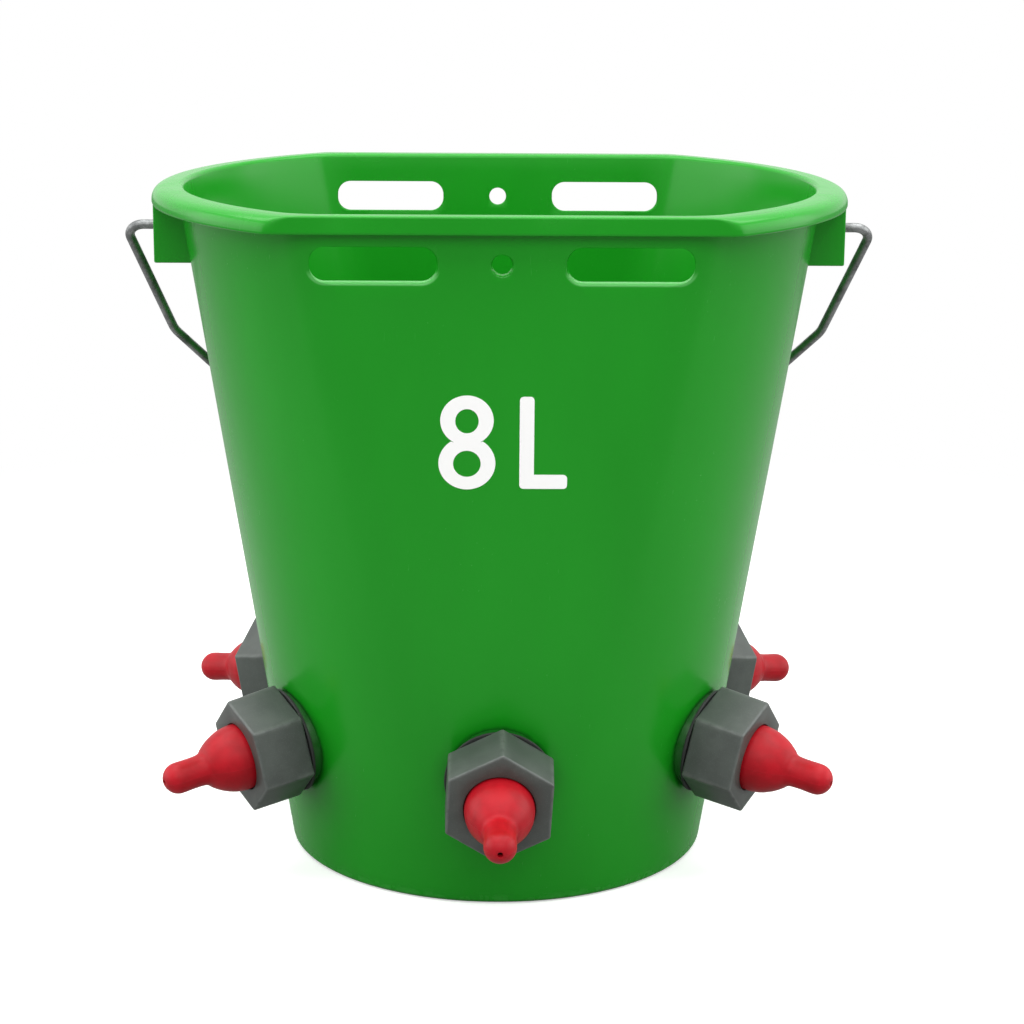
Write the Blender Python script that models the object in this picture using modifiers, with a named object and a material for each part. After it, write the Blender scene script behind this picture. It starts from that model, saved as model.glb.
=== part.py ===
"""Multi-teat feeding bucket: a moulded bucket with five screwed-in teat valves and a wire bail.

The bucket stands on z = 0 with its axis on +Z. The two flat panels face -Y and +Y, and the first teat
points to -Y. The bail turns about an axis along X, through the two lugs under the rim.
"""
import math

import bmesh
import bpy
from mathutils import Matrix, Vector

MM = 0.001

# Bucket body
BUCKET_HEIGHT = 277.0 * MM
BASE_RADIUS = 86.7 * MM
TOP_RADIUS = 129.9 * MM
WALL = 2.5 * MM
FLOOR_THICKNESS = 3.0 * MM
BASE_EDGE_ROUND = 2.0 * MM
FLOOR_CORNER_RADIUS = 5.0 * MM
FOOT_HEIGHT = 1.5 * MM
FOOT_WIDTH = 5.0 * MM

# Flat panels at the front and the back: they cut into the round wall by the inset at the top, and lean out
# past it by the margin at the base, so that they fade out on the way down
PANEL_INSET = 24.7 * MM
PANEL_BASE_MARGIN = 4.65 * MM
PANEL_BLEND = 6.0 * MM

# Rolled rim, which is cut off straight along the panels
RIM_OVERHANG = 10.1 * MM
RIM_PANEL_OVERHANG = 4.5 * MM
RIM_CORNER_BLEND = 1.5 * MM
RIM_DEPTH = 7.0 * MM
RIM_TOP_THICKNESS = 2.6 * MM
RIM_SKIRT = 2.0 * MM
RIM_EDGE = 0.8 * MM

# Hanging slots and peg hole, the same in both panels, at a depth below the top
SLOT_LENGTH = 46.8 * MM
SLOT_HEIGHT = 12.7 * MM
SLOT_OFFSET = 47.6 * MM
SLOT_DEPTH = 18.4 * MM
SLOT_CORNER_RADIUS = 5.6 * MM
PEG_HOLE_RADIUS = 3.7 * MM
EDGE_EASE = 1.3 * MM

# Bail lugs, with depths below the top
LUG_WIDTH = 25.0 * MM
LUG_DEPTH = 32.0 * MM
LUG_PLATE = 3.0 * MM
LUG_RIB = 2.5 * MM
LUG_RIM_INSET = 0.8 * MM
LUG_ROOF_DROP = 2.0 * MM
LUG_TOP_DEPTH = 4.1 * MM
PIVOT_DEPTH = 18.0 * MM
PIVOT_HOLE_RADIUS = 2.6 * MM

# Bail; its shoulder stands clear of the rim, and its knee tucks in under the rim's edge
WIRE_DIAMETER = 4.0 * MM
BAIL_LENGTH = 166.0 * MM
BAIL_SHOULDER_OUT = 12.2 * MM
BAIL_KNEE_IN = 2.5 * MM
BAIL_KNEE_DROP = 62.0 * MM
BAIL_GRIP_WIDTH = 136.0 * MM
BAIL_SHOULDER_RADIUS = 6.0 * MM
BAIL_KNEE_RADIUS = 15.0 * MM
BAIL_GRIP_RADIUS = 12.0 * MM
BAIL_HEAD_RADIUS = 3.6 * MM
BAIL_HEAD_THICKNESS = 2.0 * MM

# Teat stations, measured along each valve's axis from the outer seat face
STATION_ANGLES = (0.0, 60.0, 120.0, -120.0, -60.0)
STATION_HEIGHT = 56.0 * MM
SEAT_STANDOFF = 1.5 * MM
SEAT_RADIUS = 19.5 * MM
INNER_PAD_RADIUS = 22.0 * MM
INNER_PAD_STANDOFF = 3.9 * MM
INNER_GASKET_THICKNESS = 1.5 * MM
OUTER_GASKET_THICKNESS = 1.2 * MM
OUTER_GASKET_RADIUS = 21.4 * MM

# Valve body
SPIGOT_RADIUS = 16.3 * MM
SPIGOT_BORE_RADIUS = 12.3 * MM
SPIGOT_LENGTH = 16.5 * MM
SPIGOT_END_CHAMFER = 0.8 * MM
FLANGE_RADIUS = 21.0 * MM
FLANGE_THICKNESS = 3.0 * MM
INLET_RADIUS = 4.5 * MM
KEY_HEX_WIDTH = 18.0 * MM
KEY_HEX_HEIGHT = 3.0 * MM

# Check ball and its cage
BALL_RADIUS = 6.0 * MM
BALL_TRAVEL = 2.5 * MM
BALL_SIDE_CLEARANCE = 0.5 * MM
CAGE_FINGERS = 3
CAGE_FINGER_WIDTH = 3.0 * MM
CAGE_FINGER_THICKNESS = 2.0 * MM
CAGE_HOOK_RADIUS = 3.0 * MM
CAGE_HOOK_THICKNESS = 1.8 * MM
CAGE_RING_HEIGHT = 2.5 * MM
CAGE_RING_WIDTH = 3.5 * MM

# Cap nut
NUT_LENGTH = 21.5 * MM
NUT_REAR_WIDTH = 41.0 * MM
NUT_FRONT_WIDTH = 40.4 * MM
NUT_LIP = 3.2 * MM
NUT_LIP_HOLE_RADIUS = 13.9 * MM
NUT_EDGE_CHAMFER = 0.8 * MM
NUT_TURNS = (-3.0, -10.0, 4.0, -4.0, 10.0)
THREAD_PITCH = 3.0 * MM
UNSCREW_TURNS = 5

# Teat
TEAT_FLANGE_RADIUS = 16.0 * MM
TEAT_FLANGE_THICKNESS = 3.0 * MM
TEAT_DOME_RADIUS = 13.5 * MM
TEAT_DOME_LENGTH = 16.8 * MM
TEAT_REACH = 33.8 * MM
TEAT_NECK_RADIUS = 6.3 * MM
TEAT_TIP_RADIUS = 6.3 * MM
TEAT_WALL = 2.6 * MM
TEAT_OUTLET_RADIUS = 1.0 * MM

# Gap kept between pieces that touch
CLEARANCE = 0.3 * MM

# Fineness of the curved faces
FLAT_SHARES = (0.0, 0.42, 0.74, 0.91, 1.0)
ROUND_SHARES = (0.04, 0.11, 0.2, 0.3, 0.4, 0.5, 0.6, 0.7, 0.8, 0.9, 1.0)
LEAST_FLAT_ANGLE = 14.0
PANEL_ROWS = 4
FOOT_SIDES = 36
TEAT_SIDES = 18
STATION_SIDES = 20
SMALL_SIDES = 12
CORNER_STEPS = 3

SIDES = ((-1, "left"), (1, "right"))

COLLECTION = "multi_teat_feeding_bucket"
CUTTERS = "cutters"


def clear_scene():
    """Remove every object, and the collections of an earlier run."""
    for thing in list(bpy.data.objects):
        bpy.data.objects.remove(thing, do_unlink=True)
    for group in list(bpy.data.collections):
        bpy.data.collections.remove(group)


def new_collection(name):
    group = bpy.data.collections.new(name)
    bpy.context.scene.collection.children.link(group)
    return group


def material(name, colour, roughness, metallic=0.0):
    """A Principled material with a plain colour."""
    finish = bpy.data.materials.new(name)
    finish.use_nodes = True
    shader = finish.node_tree.nodes["Principled BSDF"]
    shader.inputs["Base Color"].default_value = (*colour, 1.0)
    shader.inputs["Roughness"].default_value = roughness
    shader.inputs["Metallic"].default_value = metallic
    return finish


def mesh_object(name, mesh, group, matrix=None):
    thing = bpy.data.objects.new(name, mesh)
    group.objects.link(thing)
    if matrix is not None:
        thing.matrix_world = matrix
    return thing


def hide_cutter(cutter):
    cutter.hide_render = True
    cutter.display_type = "WIRE"
    return cutter


def finish_mesh(mesh, finish, angle=35.0):
    """Give a mesh its material, smooth shading and sharp creases."""
    mesh.materials.clear()
    mesh.materials.append(finish)
    mesh.shade_smooth()
    mesh.set_sharp_from_angle(angle=math.radians(angle))
    return mesh


def boolean(target, cutter, operation):
    """Add an exact Boolean to target, and hide the cutter."""
    step = target.modifiers.new(f"{operation.lower()}_{cutter.name}", "BOOLEAN")
    step.operation = operation
    step.solver = "EXACT"
    step.object = cutter
    hide_cutter(cutter)


def applied_mesh(thing, name):
    """The mesh that the object's modifiers make, as a mesh of its own."""
    bpy.context.view_layer.update()
    evaluated = thing.evaluated_get(bpy.context.evaluated_depsgraph_get())
    mesh = bpy.data.meshes.new_from_object(evaluated)
    mesh.name = name
    return mesh


# Lofts between outlines


def loft_mesh(name, rings):
    """Join rings of equally many points with faces, and cap the first and last rings."""
    bm = bmesh.new()
    rows = [[bm.verts.new(point) for point in ring] for ring in rings]
    count = len(rows[0])
    for low, high in zip(rows, rows[1:]):
        for i in range(count):
            j = (i + 1) % count
            bm.faces.new((low[i], low[j], high[j], high[i]))
    bm.faces.new(list(reversed(rows[0])))
    bm.faces.new(rows[-1])
    bmesh.ops.triangulate(bm, faces=bm.faces[:])
    bmesh.ops.recalc_face_normals(bm, faces=bm.faces[:])
    mesh = bpy.data.meshes.new(name)
    bm.to_mesh(mesh)
    bm.free()
    return mesh


def soft_min(a, b, blend):
    """The smaller of two lengths, with a rounded change-over of the given width."""
    h = max(blend - abs(a - b), 0.0) / blend
    return min(a, b) - h * h * blend / 4.0


def quarter_angles(radius, distance):
    """Angles from the middle of a flat to the middle of a round side, with one on the corner between them."""
    corner = math.acos(min(distance / radius, math.cos(math.radians(LEAST_FLAT_ANGLE))))
    flat = [share * corner for share in FLAT_SHARES]
    return flat + [corner + share * (math.pi / 2.0 - corner) for share in ROUND_SHARES]


def outline(radius, distance, z, blend=PANEL_BLEND):
    """One ring: a circle flattened at the front and the back, with soft corners."""
    quarter = []
    for angle in quarter_angles(radius, distance):
        reach = soft_min(radius, distance / max(math.cos(angle), 1e-6), blend)
        quarter.append((reach * math.sin(angle), reach * math.cos(angle)))
    back = [(-x, y) for x, y in quarter[:0:-1]] + quarter[:-1]
    return [(x, y, z) for x, y in back] + [(-x, -y, z) for x, y in back]


def taper():
    """Growth of the wall's radius for each unit of height."""
    return (TOP_RADIUS - BASE_RADIUS) / BUCKET_HEIGHT


def cone_radius(z):
    return BASE_RADIUS + taper() * z


def panel_distance(z):
    """Distance of the panels' outer faces from the bucket's axis at height z."""
    low = BASE_RADIUS + PANEL_BASE_MARGIN
    high = TOP_RADIUS - PANEL_INSET
    return low + (high - low) * z / BUCKET_HEIGHT


def rim_radius():
    return TOP_RADIUS + RIM_OVERHANG


def slot_height():
    """Height of the slots' and the peg holes' centres."""
    return BUCKET_HEIGHT - SLOT_DEPTH


def pivot_height():
    return BUCKET_HEIGHT - PIVOT_DEPTH


def lug_bottom():
    return BUCKET_HEIGHT - LUG_DEPTH


def lug_reach():
    """Distance of the lugs' outer faces from the bucket's axis."""
    return rim_radius() - LUG_RIM_INSET


def wall_ring(z, offset=0.0):
    """The wall's outline at height z, moved outwards by offset."""
    return outline(cone_radius(z) + offset, panel_distance(z) + offset, z)


def wall_heights(low, high):
    """Rows for a wall from low to high."""
    return [low + (high - low) * i / PANEL_ROWS for i in range(PANEL_ROWS + 1)]


def rim_profile():
    """The rim's section from the groove up: insets at the round sides and at the flats, and depth.

    At the round sides the top curves over. At the flats it stays level and ends in a square edge.
    """
    return (
        (RIM_SKIRT, RIM_SKIRT, 1.4 * RIM_TOP_THICKNESS),
        (RIM_SKIRT, RIM_SKIRT, RIM_DEPTH),
        (0.3 * RIM_SKIRT, 0.3 * RIM_SKIRT, RIM_DEPTH),
        (0.0, 0.0, RIM_DEPTH - 0.4 * RIM_SKIRT),
        (0.02 * RIM_OVERHANG, 0.0, 0.58 * RIM_DEPTH),
        (0.14 * RIM_OVERHANG, 0.0, 0.27 * RIM_DEPTH),
        (0.38 * RIM_OVERHANG, 0.25 * RIM_EDGE, 0.08 * RIM_DEPTH),
        (0.70 * RIM_OVERHANG, RIM_EDGE, 0.0),
    )


def rim_ring(round_inset, flat_inset, z):
    """The rim's outline, drawn in from its outer edge by the two insets."""
    panel = panel_distance(BUCKET_HEIGHT) + RIM_PANEL_OVERHANG
    return outline(rim_radius() - round_inset, panel - flat_inset, z, RIM_CORNER_BLEND)


def body_form():
    """The bucket's outer form, filled, with its rim as a channel that is open downwards."""
    rings = []
    for i in range(CORNER_STEPS):
        turn = math.pi / 2.0 * i / CORNER_STEPS
        inset = BASE_EDGE_ROUND * (1.0 - math.sin(turn))
        rings.append(wall_ring(BASE_EDGE_ROUND * (1.0 - math.cos(turn)), -inset))
    groove_top = BUCKET_HEIGHT - RIM_TOP_THICKNESS
    rings += [wall_ring(z) for z in wall_heights(BASE_EDGE_ROUND, groove_top)]
    for round_inset, flat_inset, depth in rim_profile():
        rings.append(rim_ring(round_inset, flat_inset, BUCKET_HEIGHT - depth))
    return loft_mesh("body_form", rings)


def cavity_form():
    """The space inside the bucket, open past the rim."""
    floor_z = FOOT_HEIGHT + FLOOR_THICKNESS
    rings = []
    for i in range(CORNER_STEPS):
        turn = math.pi / 2.0 * i / CORNER_STEPS
        inset = FLOOR_CORNER_RADIUS * (1.0 - math.sin(turn))
        z = floor_z + FLOOR_CORNER_RADIUS * (1.0 - math.cos(turn))
        rings.append(wall_ring(z, -WALL - inset))
    top = BUCKET_HEIGHT - RIM_EDGE
    rings += [wall_ring(z, -WALL) for z in wall_heights(floor_z + FLOOR_CORNER_RADIUS, top)]
    rings.append(wall_ring(BUCKET_HEIGHT + RIM_EDGE, 2.0 * RIM_EDGE - WALL))
    return loft_mesh("cavity_form", rings)


# Simple solids


def box_mesh(name, low, high):
    """A box between two corners."""
    bm = bmesh.new()
    bmesh.ops.create_cube(bm, size=1.0)
    low, high = Vector(low), Vector(high)
    bmesh.ops.scale(bm, vec=high - low, verts=bm.verts[:])
    bmesh.ops.translate(bm, vec=(low + high) / 2.0, verts=bm.verts[:])
    mesh = bpy.data.meshes.new(name)
    bm.to_mesh(mesh)
    bm.free()
    return mesh


def disc_mesh(name, radius, low, high, sides=STATION_SIDES):
    """A cylinder about +Z between two heights."""
    bm = bmesh.new()
    bmesh.ops.create_cone(
        bm, cap_ends=True, segments=sides, radius1=radius, radius2=radius, depth=high - low
    )
    bmesh.ops.translate(bm, vec=(0.0, 0.0, (low + high) / 2.0), verts=bm.verts[:])
    mesh = bpy.data.meshes.new(name)
    bm.to_mesh(mesh)
    bm.free()
    return mesh


def turned_mesh(name, profile, group, sides=STATION_SIDES, closed=True):
    """Turn a profile of (radius, height) points about Z with a Screw modifier.

    The outer side of the profile runs from the top down, so the faces point outwards.
    """
    mesh = bpy.data.meshes.new(f"{name}_profile")
    points = [(radius, 0.0, height) for radius, height in profile]
    edges = [(i, i + 1) for i in range(len(points) - 1)]
    if closed:
        edges.append((len(points) - 1, 0))
    mesh.from_pydata(points, edges, [])
    guide = mesh_object(f"{name}_profile", mesh, group)
    turn = guide.modifiers.new("turn", "SCREW")
    turn.axis = "Z"
    turn.angle = 2.0 * math.pi
    turn.steps = sides
    turn.render_steps = sides
    turn.use_merge_vertices = True
    turn.merge_threshold = 0.00001
    turned = applied_mesh(guide, name)
    bpy.data.objects.remove(guide, do_unlink=True)
    return turned


def washer_mesh(name, inner, outer, low, high, group):
    """A flat ring."""
    profile = [(outer, high), (outer, low), (inner, low), (inner, high)]
    return turned_mesh(name, profile, group)


def rounded_rectangle(width, height, radius):
    """Points of a rectangle with round corners, anticlockwise."""
    points = []
    corners = ((1, 1, 0.0), (-1, 1, 90.0), (-1, -1, 180.0), (1, -1, 270.0))
    for side_x, side_z, start in corners:
        centre_x = side_x * (width / 2.0 - radius)
        centre_z = side_z * (height / 2.0 - radius)
        for i in range(CORNER_STEPS + 1):
            angle = math.radians(start + 90.0 * i / CORNER_STEPS)
            points.append((centre_x + radius * math.cos(angle), centre_z + radius * math.sin(angle)))
    return points


def through_cutter(name, shape, x, group):
    """A cutter along Y through both panels, flared to ease the outer edges.

    shape gives the outline's points, in X and Z, for an amount that the outline has grown by.
    """
    outer = panel_distance(slot_height())
    stations = (
        (-outer - EDGE_EASE, 2.0 * EDGE_EASE),
        (-outer + EDGE_EASE, 0.0),
        (outer - EDGE_EASE, 0.0),
        (outer + EDGE_EASE, 2.0 * EDGE_EASE),
    )
    rings = []
    for y, grown in stations:
        rings.append([(x + px, y, slot_height() + pz) for px, pz in shape(grown)])
    return mesh_object(name, loft_mesh(name, rings), group)


def slot_shape(grown):
    radius = SLOT_CORNER_RADIUS + grown
    return rounded_rectangle(SLOT_LENGTH + 2.0 * grown, SLOT_HEIGHT + 2.0 * grown, radius)


def peg_shape(grown):
    radius = PEG_HOLE_RADIUS + grown
    steps = [2.0 * math.pi * i / SMALL_SIDES for i in range(SMALL_SIDES)]
    return [(radius * math.cos(a), radius * math.sin(a)) for a in steps]


# Teat stations


def station_matrix(angle_deg):
    """Frame of a station: X along the wall, Y up the wall, Z outwards; the origin is on the seat."""
    angle = math.radians(angle_deg)
    tilt = math.atan(taper())
    radial = Vector((math.sin(angle), -math.cos(angle), 0.0))
    along = Vector((math.cos(angle), math.sin(angle), 0.0))
    up = Vector((0.0, 0.0, 1.0))
    outward = math.cos(tilt) * radial - math.sin(tilt) * up
    uphill = math.sin(tilt) * radial + math.cos(tilt) * up
    centre = cone_radius(STATION_HEIGHT) * radial + STATION_HEIGHT * up + SEAT_STANDOFF * outward
    frame = Matrix((along, uphill, outward)).transposed().to_4x4()
    return Matrix.Translation(centre) @ frame


def inner_seat():
    """Height of the pad inside the wall that the inner gasket seals on."""
    return -SEAT_STANDOFF - WALL - INNER_PAD_STANDOFF


def flange_top():
    """Height of the valve flange's face that presses on the inner gasket."""
    return inner_seat() - INNER_GASKET_THICKNESS - 2.0 * CLEARANCE


def nut_rear():
    return OUTER_GASKET_THICKNESS + 2.0 * CLEARANCE


def nut_front():
    return nut_rear() + NUT_LENGTH


def nut_bore_radius():
    return SPIGOT_RADIUS + CLEARANCE


def teat_flange_bottom():
    return SPIGOT_LENGTH + CLEARANCE


def ball_rest():
    """Height of the ball's centre when it lies open, against the cage."""
    seat_rise = math.sqrt(BALL_RADIUS**2 - INLET_RADIUS**2)
    return flange_top() + seat_rise + CLEARANCE + BALL_TRAVEL


def make_bucket_shell(group, cutters, finish):
    """The moulded bucket: wall, flats, rim, lugs, slots, valve seats and holes."""
    shell = mesh_object("bucket_shell", body_form(), group)
    cavity = mesh_object("cavity", cavity_form(), cutters)
    for side, place in SIDES:
        boolean(shell, make_lug(side, place, cutters), "UNION")
    for number, angle in enumerate(STATION_ANGLES, 1):
        frame = station_matrix(angle)
        seat = disc_mesh("seat", SEAT_RADIUS, inner_seat(), 0.0)
        boolean(shell, mesh_object(f"seat_{number}", seat, cutters, frame), "UNION")
        pad = disc_mesh("inner_pad", INNER_PAD_RADIUS, inner_seat(), 2.0 * WALL)
        boolean(cavity, mesh_object(f"inner_pad_{number}", pad, cutters, frame), "DIFFERENCE")
    boolean(shell, cavity, "DIFFERENCE")
    for number, angle in enumerate(STATION_ANGLES, 1):
        hole = disc_mesh("hole", nut_bore_radius(), 2.0 * inner_seat(), -inner_seat())
        frame = station_matrix(angle)
        boolean(shell, mesh_object(f"valve_hole_{number}", hole, cutters, frame), "DIFFERENCE")
    reach = lug_reach()
    for side, place in SIDES:
        cutter = through_cutter(f"slots_{place}", slot_shape, side * SLOT_OFFSET, cutters)
        boolean(shell, cutter, "DIFFERENCE")
        hole = disc_mesh("pivot", PIVOT_HOLE_RADIUS, reach - 1.5 * LUG_PLATE, reach + LUG_PLATE, SMALL_SIDES)
        turn = Matrix.Translation((0.0, 0.0, pivot_height())) @ Matrix.Rotation(side * math.pi / 2.0, 4, "Y")
        boolean(shell, mesh_object(f"pivot_{place}", hole, cutters, turn), "DIFFERENCE")
    boolean(shell, through_cutter("peg_holes", peg_shape, 0.0, cutters), "DIFFERENCE")
    foot_radius = BASE_RADIUS - FOOT_WIDTH
    foot = disc_mesh("foot_recess", foot_radius, -FOOT_HEIGHT, FOOT_HEIGHT, FOOT_SIDES)
    boolean(shell, mesh_object("foot_recess", foot, cutters), "DIFFERENCE")
    mesh = applied_mesh(shell, "bucket_shell")
    bpy.data.objects.remove(shell, do_unlink=True)
    return mesh_object("bucket_shell", finish_mesh(mesh, finish), group)


def side_matrix(side):
    """Frame of one end of the pivot axis: its X points out of the bucket on that side."""
    return Matrix.Rotation(0.0 if side > 0 else math.pi, 4, "Z")


def make_lug(side, place, cutters):
    """A box under the rim, open below, that carries one end of the bail."""
    outer = lug_reach()
    inner = cone_radius(lug_bottom()) - 3.0 * WALL
    top = BUCKET_HEIGHT - LUG_TOP_DEPTH
    half = LUG_WIDTH / 2.0
    frame = side_matrix(side)
    block = box_mesh("lug", (inner, -half, lug_bottom()), (outer, half, top))
    lug = mesh_object(f"lug_{place}", block, cutters, frame)
    pocket = box_mesh(
        "pocket",
        (inner - WALL, LUG_RIB - half, lug_bottom() - WALL),
        (outer - LUG_PLATE, half - LUG_RIB, BUCKET_HEIGHT - RIM_DEPTH - LUG_ROOF_DROP),
    )
    boolean(lug, mesh_object(f"lug_pocket_{place}", pocket, cutters, frame), "DIFFERENCE")
    return lug


# Bail


def filleted_path(corners, steps=5):
    """Points along straight runs whose corners are rounded by arcs of the given radii."""
    points = [Vector(corners[0][0])]
    for before, (corner, radius), after in zip(corners, corners[1:], corners[2:]):
        corner = Vector(corner)
        back = (Vector(before[0]) - corner).normalized()
        ahead = (Vector(after[0]) - corner).normalized()
        half = back.angle(ahead) / 2.0
        centre = corner + (back + ahead).normalized() * radius / math.sin(half)
        start = corner + back * radius / math.tan(half) - centre
        end = corner + ahead * radius / math.tan(half) - centre
        for i in range(steps + 1):
            points.append(centre + start.slerp(end, i / steps) * radius)
    points.append(Vector(corners[-1][0]))
    return points


def bail_rest_angle():
    """Angle of the bail's plane from straight down, when the grip lies on the back panel."""
    angle = math.radians(30.0)
    for _ in range(40):
        z = pivot_height() - BAIL_LENGTH * math.cos(angle)
        reach = panel_distance(z) + WIRE_DIAMETER / 2.0 + CLEARANCE
        angle = math.asin(reach / BAIL_LENGTH)
    return angle


def bail_head_x():
    """Outer face of the bail's head, inside the lug's plate."""
    return lug_reach() - LUG_PLATE - CLEARANCE


def make_bail(group, cutters, finish):
    """The wire bail, at rest against the back panel."""
    tip_x = bail_head_x() - BAIL_HEAD_THICKNESS
    half_grip = BAIL_GRIP_WIDTH / 2.0
    right = [
        ((tip_x + BAIL_HEAD_THICKNESS / 2.0, 0.0, 0.0), 0.0),
        ((rim_radius() + BAIL_SHOULDER_OUT, 0.0, 0.0), BAIL_SHOULDER_RADIUS),
        ((rim_radius() - BAIL_KNEE_IN, 0.0, -BAIL_KNEE_DROP), BAIL_KNEE_RADIUS),
        ((half_grip, 0.0, -BAIL_LENGTH), BAIL_GRIP_RADIUS),
    ]
    left = [((-point[0], 0.0, point[2]), radius) for point, radius in reversed(right)]
    path = filleted_path(right + left)
    curve = bpy.data.curves.new("bail_wire", "CURVE")
    curve.dimensions = "3D"
    curve.bevel_depth = WIRE_DIAMETER / 2.0
    curve.bevel_resolution = 2
    curve.use_fill_caps = True
    spline = curve.splines.new("POLY")
    spline.points.add(len(path) - 1)
    for point, place in zip(spline.points, path):
        point.co = (*place, 1.0)
    guide = mesh_object("bail_wire", curve, cutters)
    wire = applied_mesh(guide, "bail")
    bpy.data.objects.remove(guide, do_unlink=True)
    weld_mesh(wire)
    rest = Matrix.Translation((0.0, 0.0, pivot_height())) @ Matrix.Rotation(bail_rest_angle(), 4, "X")
    bail = mesh_object("bail_blank", wire, group, rest)
    for side, place in SIDES:
        head = disc_mesh("head", BAIL_HEAD_RADIUS, tip_x, bail_head_x(), SMALL_SIDES)
        turn = rest @ Matrix.Rotation(side * math.pi / 2.0, 4, "Y")
        boolean(bail, mesh_object(f"bail_head_{place}", head, cutters, turn), "UNION")
    mesh = applied_mesh(bail, "bail_handle")
    bpy.data.objects.remove(bail, do_unlink=True)
    return mesh_object("bail_handle", finish_mesh(mesh, finish, 50.0), group, rest)


def weld_mesh(mesh, distance=0.00001):
    bm = bmesh.new()
    bm.from_mesh(mesh)
    bmesh.ops.remove_doubles(bm, verts=bm.verts[:], dist=distance)
    bmesh.ops.recalc_face_normals(bm, faces=bm.faces[:])
    bm.to_mesh(mesh)
    bm.free()


# Valve pieces, each made once in its station's frame


def valve_body_mesh(cutters):
    """Threaded spigot with an inner flange, a ball seat and a hexagon to hold it by."""
    seat = flange_top()
    back = seat - FLANGE_THICKNESS
    end = SPIGOT_LENGTH
    profile = [
        (0.0, seat),
        (SPIGOT_BORE_RADIUS, seat),
        (SPIGOT_BORE_RADIUS, end),
        (SPIGOT_RADIUS - SPIGOT_END_CHAMFER, end),
        (SPIGOT_RADIUS, end - SPIGOT_END_CHAMFER),
        (SPIGOT_RADIUS, seat),
        (FLANGE_RADIUS, seat),
        (FLANGE_RADIUS, back),
        (0.0, back),
    ]
    body = mesh_object("valve_body", turned_mesh("valve_body", profile, cutters, closed=False), cutters)
    overlap = FLANGE_THICKNESS / 2.0
    key = disc_mesh("key", KEY_HEX_WIDTH / math.sqrt(3.0), back - KEY_HEX_HEIGHT, back + overlap, 6)
    boolean(body, mesh_object("valve_key", key, cutters), "UNION")
    bore = disc_mesh("inlet", INLET_RADIUS, back - 2.0 * KEY_HEX_HEIGHT, seat + overlap)
    boolean(body, mesh_object("valve_inlet", bore, cutters), "DIFFERENCE")
    mesh = applied_mesh(body, "valve_body")
    hide_cutter(body)
    return mesh


def ball_mesh():
    bm = bmesh.new()
    bmesh.ops.create_uvsphere(bm, u_segments=SMALL_SIDES, v_segments=SMALL_SIDES // 2, radius=BALL_RADIUS)
    mesh = bpy.data.meshes.new("check_ball")
    bm.to_mesh(mesh)
    bm.free()
    return mesh


def cage_mesh(cutters):
    """A ring with hooked fingers that hold the ball in front of the inlet."""
    low = flange_top() + CLEARANCE
    outer = SPIGOT_BORE_RADIUS - CLEARANCE
    inner = outer - CAGE_RING_WIDTH
    ring = washer_mesh("cage", inner, outer, low, low + CAGE_RING_HEIGHT, cutters)
    cage = mesh_object("cage", ring, cutters)
    half = CAGE_FINGER_WIDTH / 2.0
    near = BALL_RADIUS + BALL_SIDE_CLEARANCE + CLEARANCE
    far = near + CAGE_FINGER_THICKNESS
    stop = ball_rest() + math.sqrt(BALL_RADIUS**2 - CAGE_HOOK_RADIUS**2) + CLEARANCE
    tip = stop + CAGE_HOOK_THICKNESS
    for i in range(CAGE_FINGERS):
        turn = Matrix.Rotation(math.radians(90.0 + 360.0 * i / CAGE_FINGERS), 4, "Z")
        root = low + CAGE_RING_HEIGHT / 2.0
        back = [(far, root), (far, tip), (CAGE_HOOK_RADIUS, tip)]
        hook = back + [(CAGE_HOOK_RADIUS, stop), (near, stop), (near, root)]
        rings = [[(x, y, z) for x, z in hook] for y in (-half, half)]
        boolean(cage, mesh_object(f"cage_finger_{i}", loft_mesh("finger", rings), cutters, turn), "UNION")
    mesh = applied_mesh(cage, "ball_cage")
    hide_cutter(cage)
    return mesh


def teat_mesh(cutters):
    """The rubber teat: clamped flange, dome, nipple and outlet, hollow right through."""
    low = teat_flange_bottom()
    face = low + TEAT_FLANGE_THICKNESS
    nut_face = nut_front()
    tip = nut_face + TEAT_REACH
    neck = nut_face + TEAT_DOME_LENGTH
    drop = TEAT_DOME_RADIUS - TEAT_NECK_RADIUS
    length = TEAT_DOME_LENGTH
    outer = [
        (TEAT_FLANGE_RADIUS, low),
        (TEAT_FLANGE_RADIUS, face),
        (TEAT_DOME_RADIUS, face),
        (TEAT_DOME_RADIUS, nut_face + 0.12 * length),
        (TEAT_NECK_RADIUS + 0.90 * drop, nut_face + 0.38 * length),
        (TEAT_NECK_RADIUS + 0.62 * drop, nut_face + 0.66 * length),
        (TEAT_NECK_RADIUS + 0.30 * drop, nut_face + 0.86 * length),
        (TEAT_NECK_RADIUS + 0.04 * drop, neck),
        (TEAT_TIP_RADIUS, tip - TEAT_TIP_RADIUS),
    ]
    for turn in (35.0, 65.0):
        angle = math.radians(turn)
        rise = TEAT_TIP_RADIUS * (math.sin(angle) - 1.0)
        outer.append((TEAT_TIP_RADIUS * math.cos(angle), tip + rise))
    bore = TEAT_NECK_RADIUS - TEAT_WALL
    wide = TEAT_DOME_RADIUS - TEAT_WALL
    inner = [
        (TEAT_OUTLET_RADIUS, tip),
        (TEAT_OUTLET_RADIUS, tip - TEAT_WALL),
        (bore, tip - TEAT_WALL - bore),
        (bore, neck),
        (bore + 0.6 * (wide - bore), nut_face + 0.62 * length),
        (wide, nut_face + 0.15 * length),
        (wide, low),
    ]
    profile = list(reversed(outer + inner))
    return turned_mesh("teat", profile, cutters, TEAT_SIDES)


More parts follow.
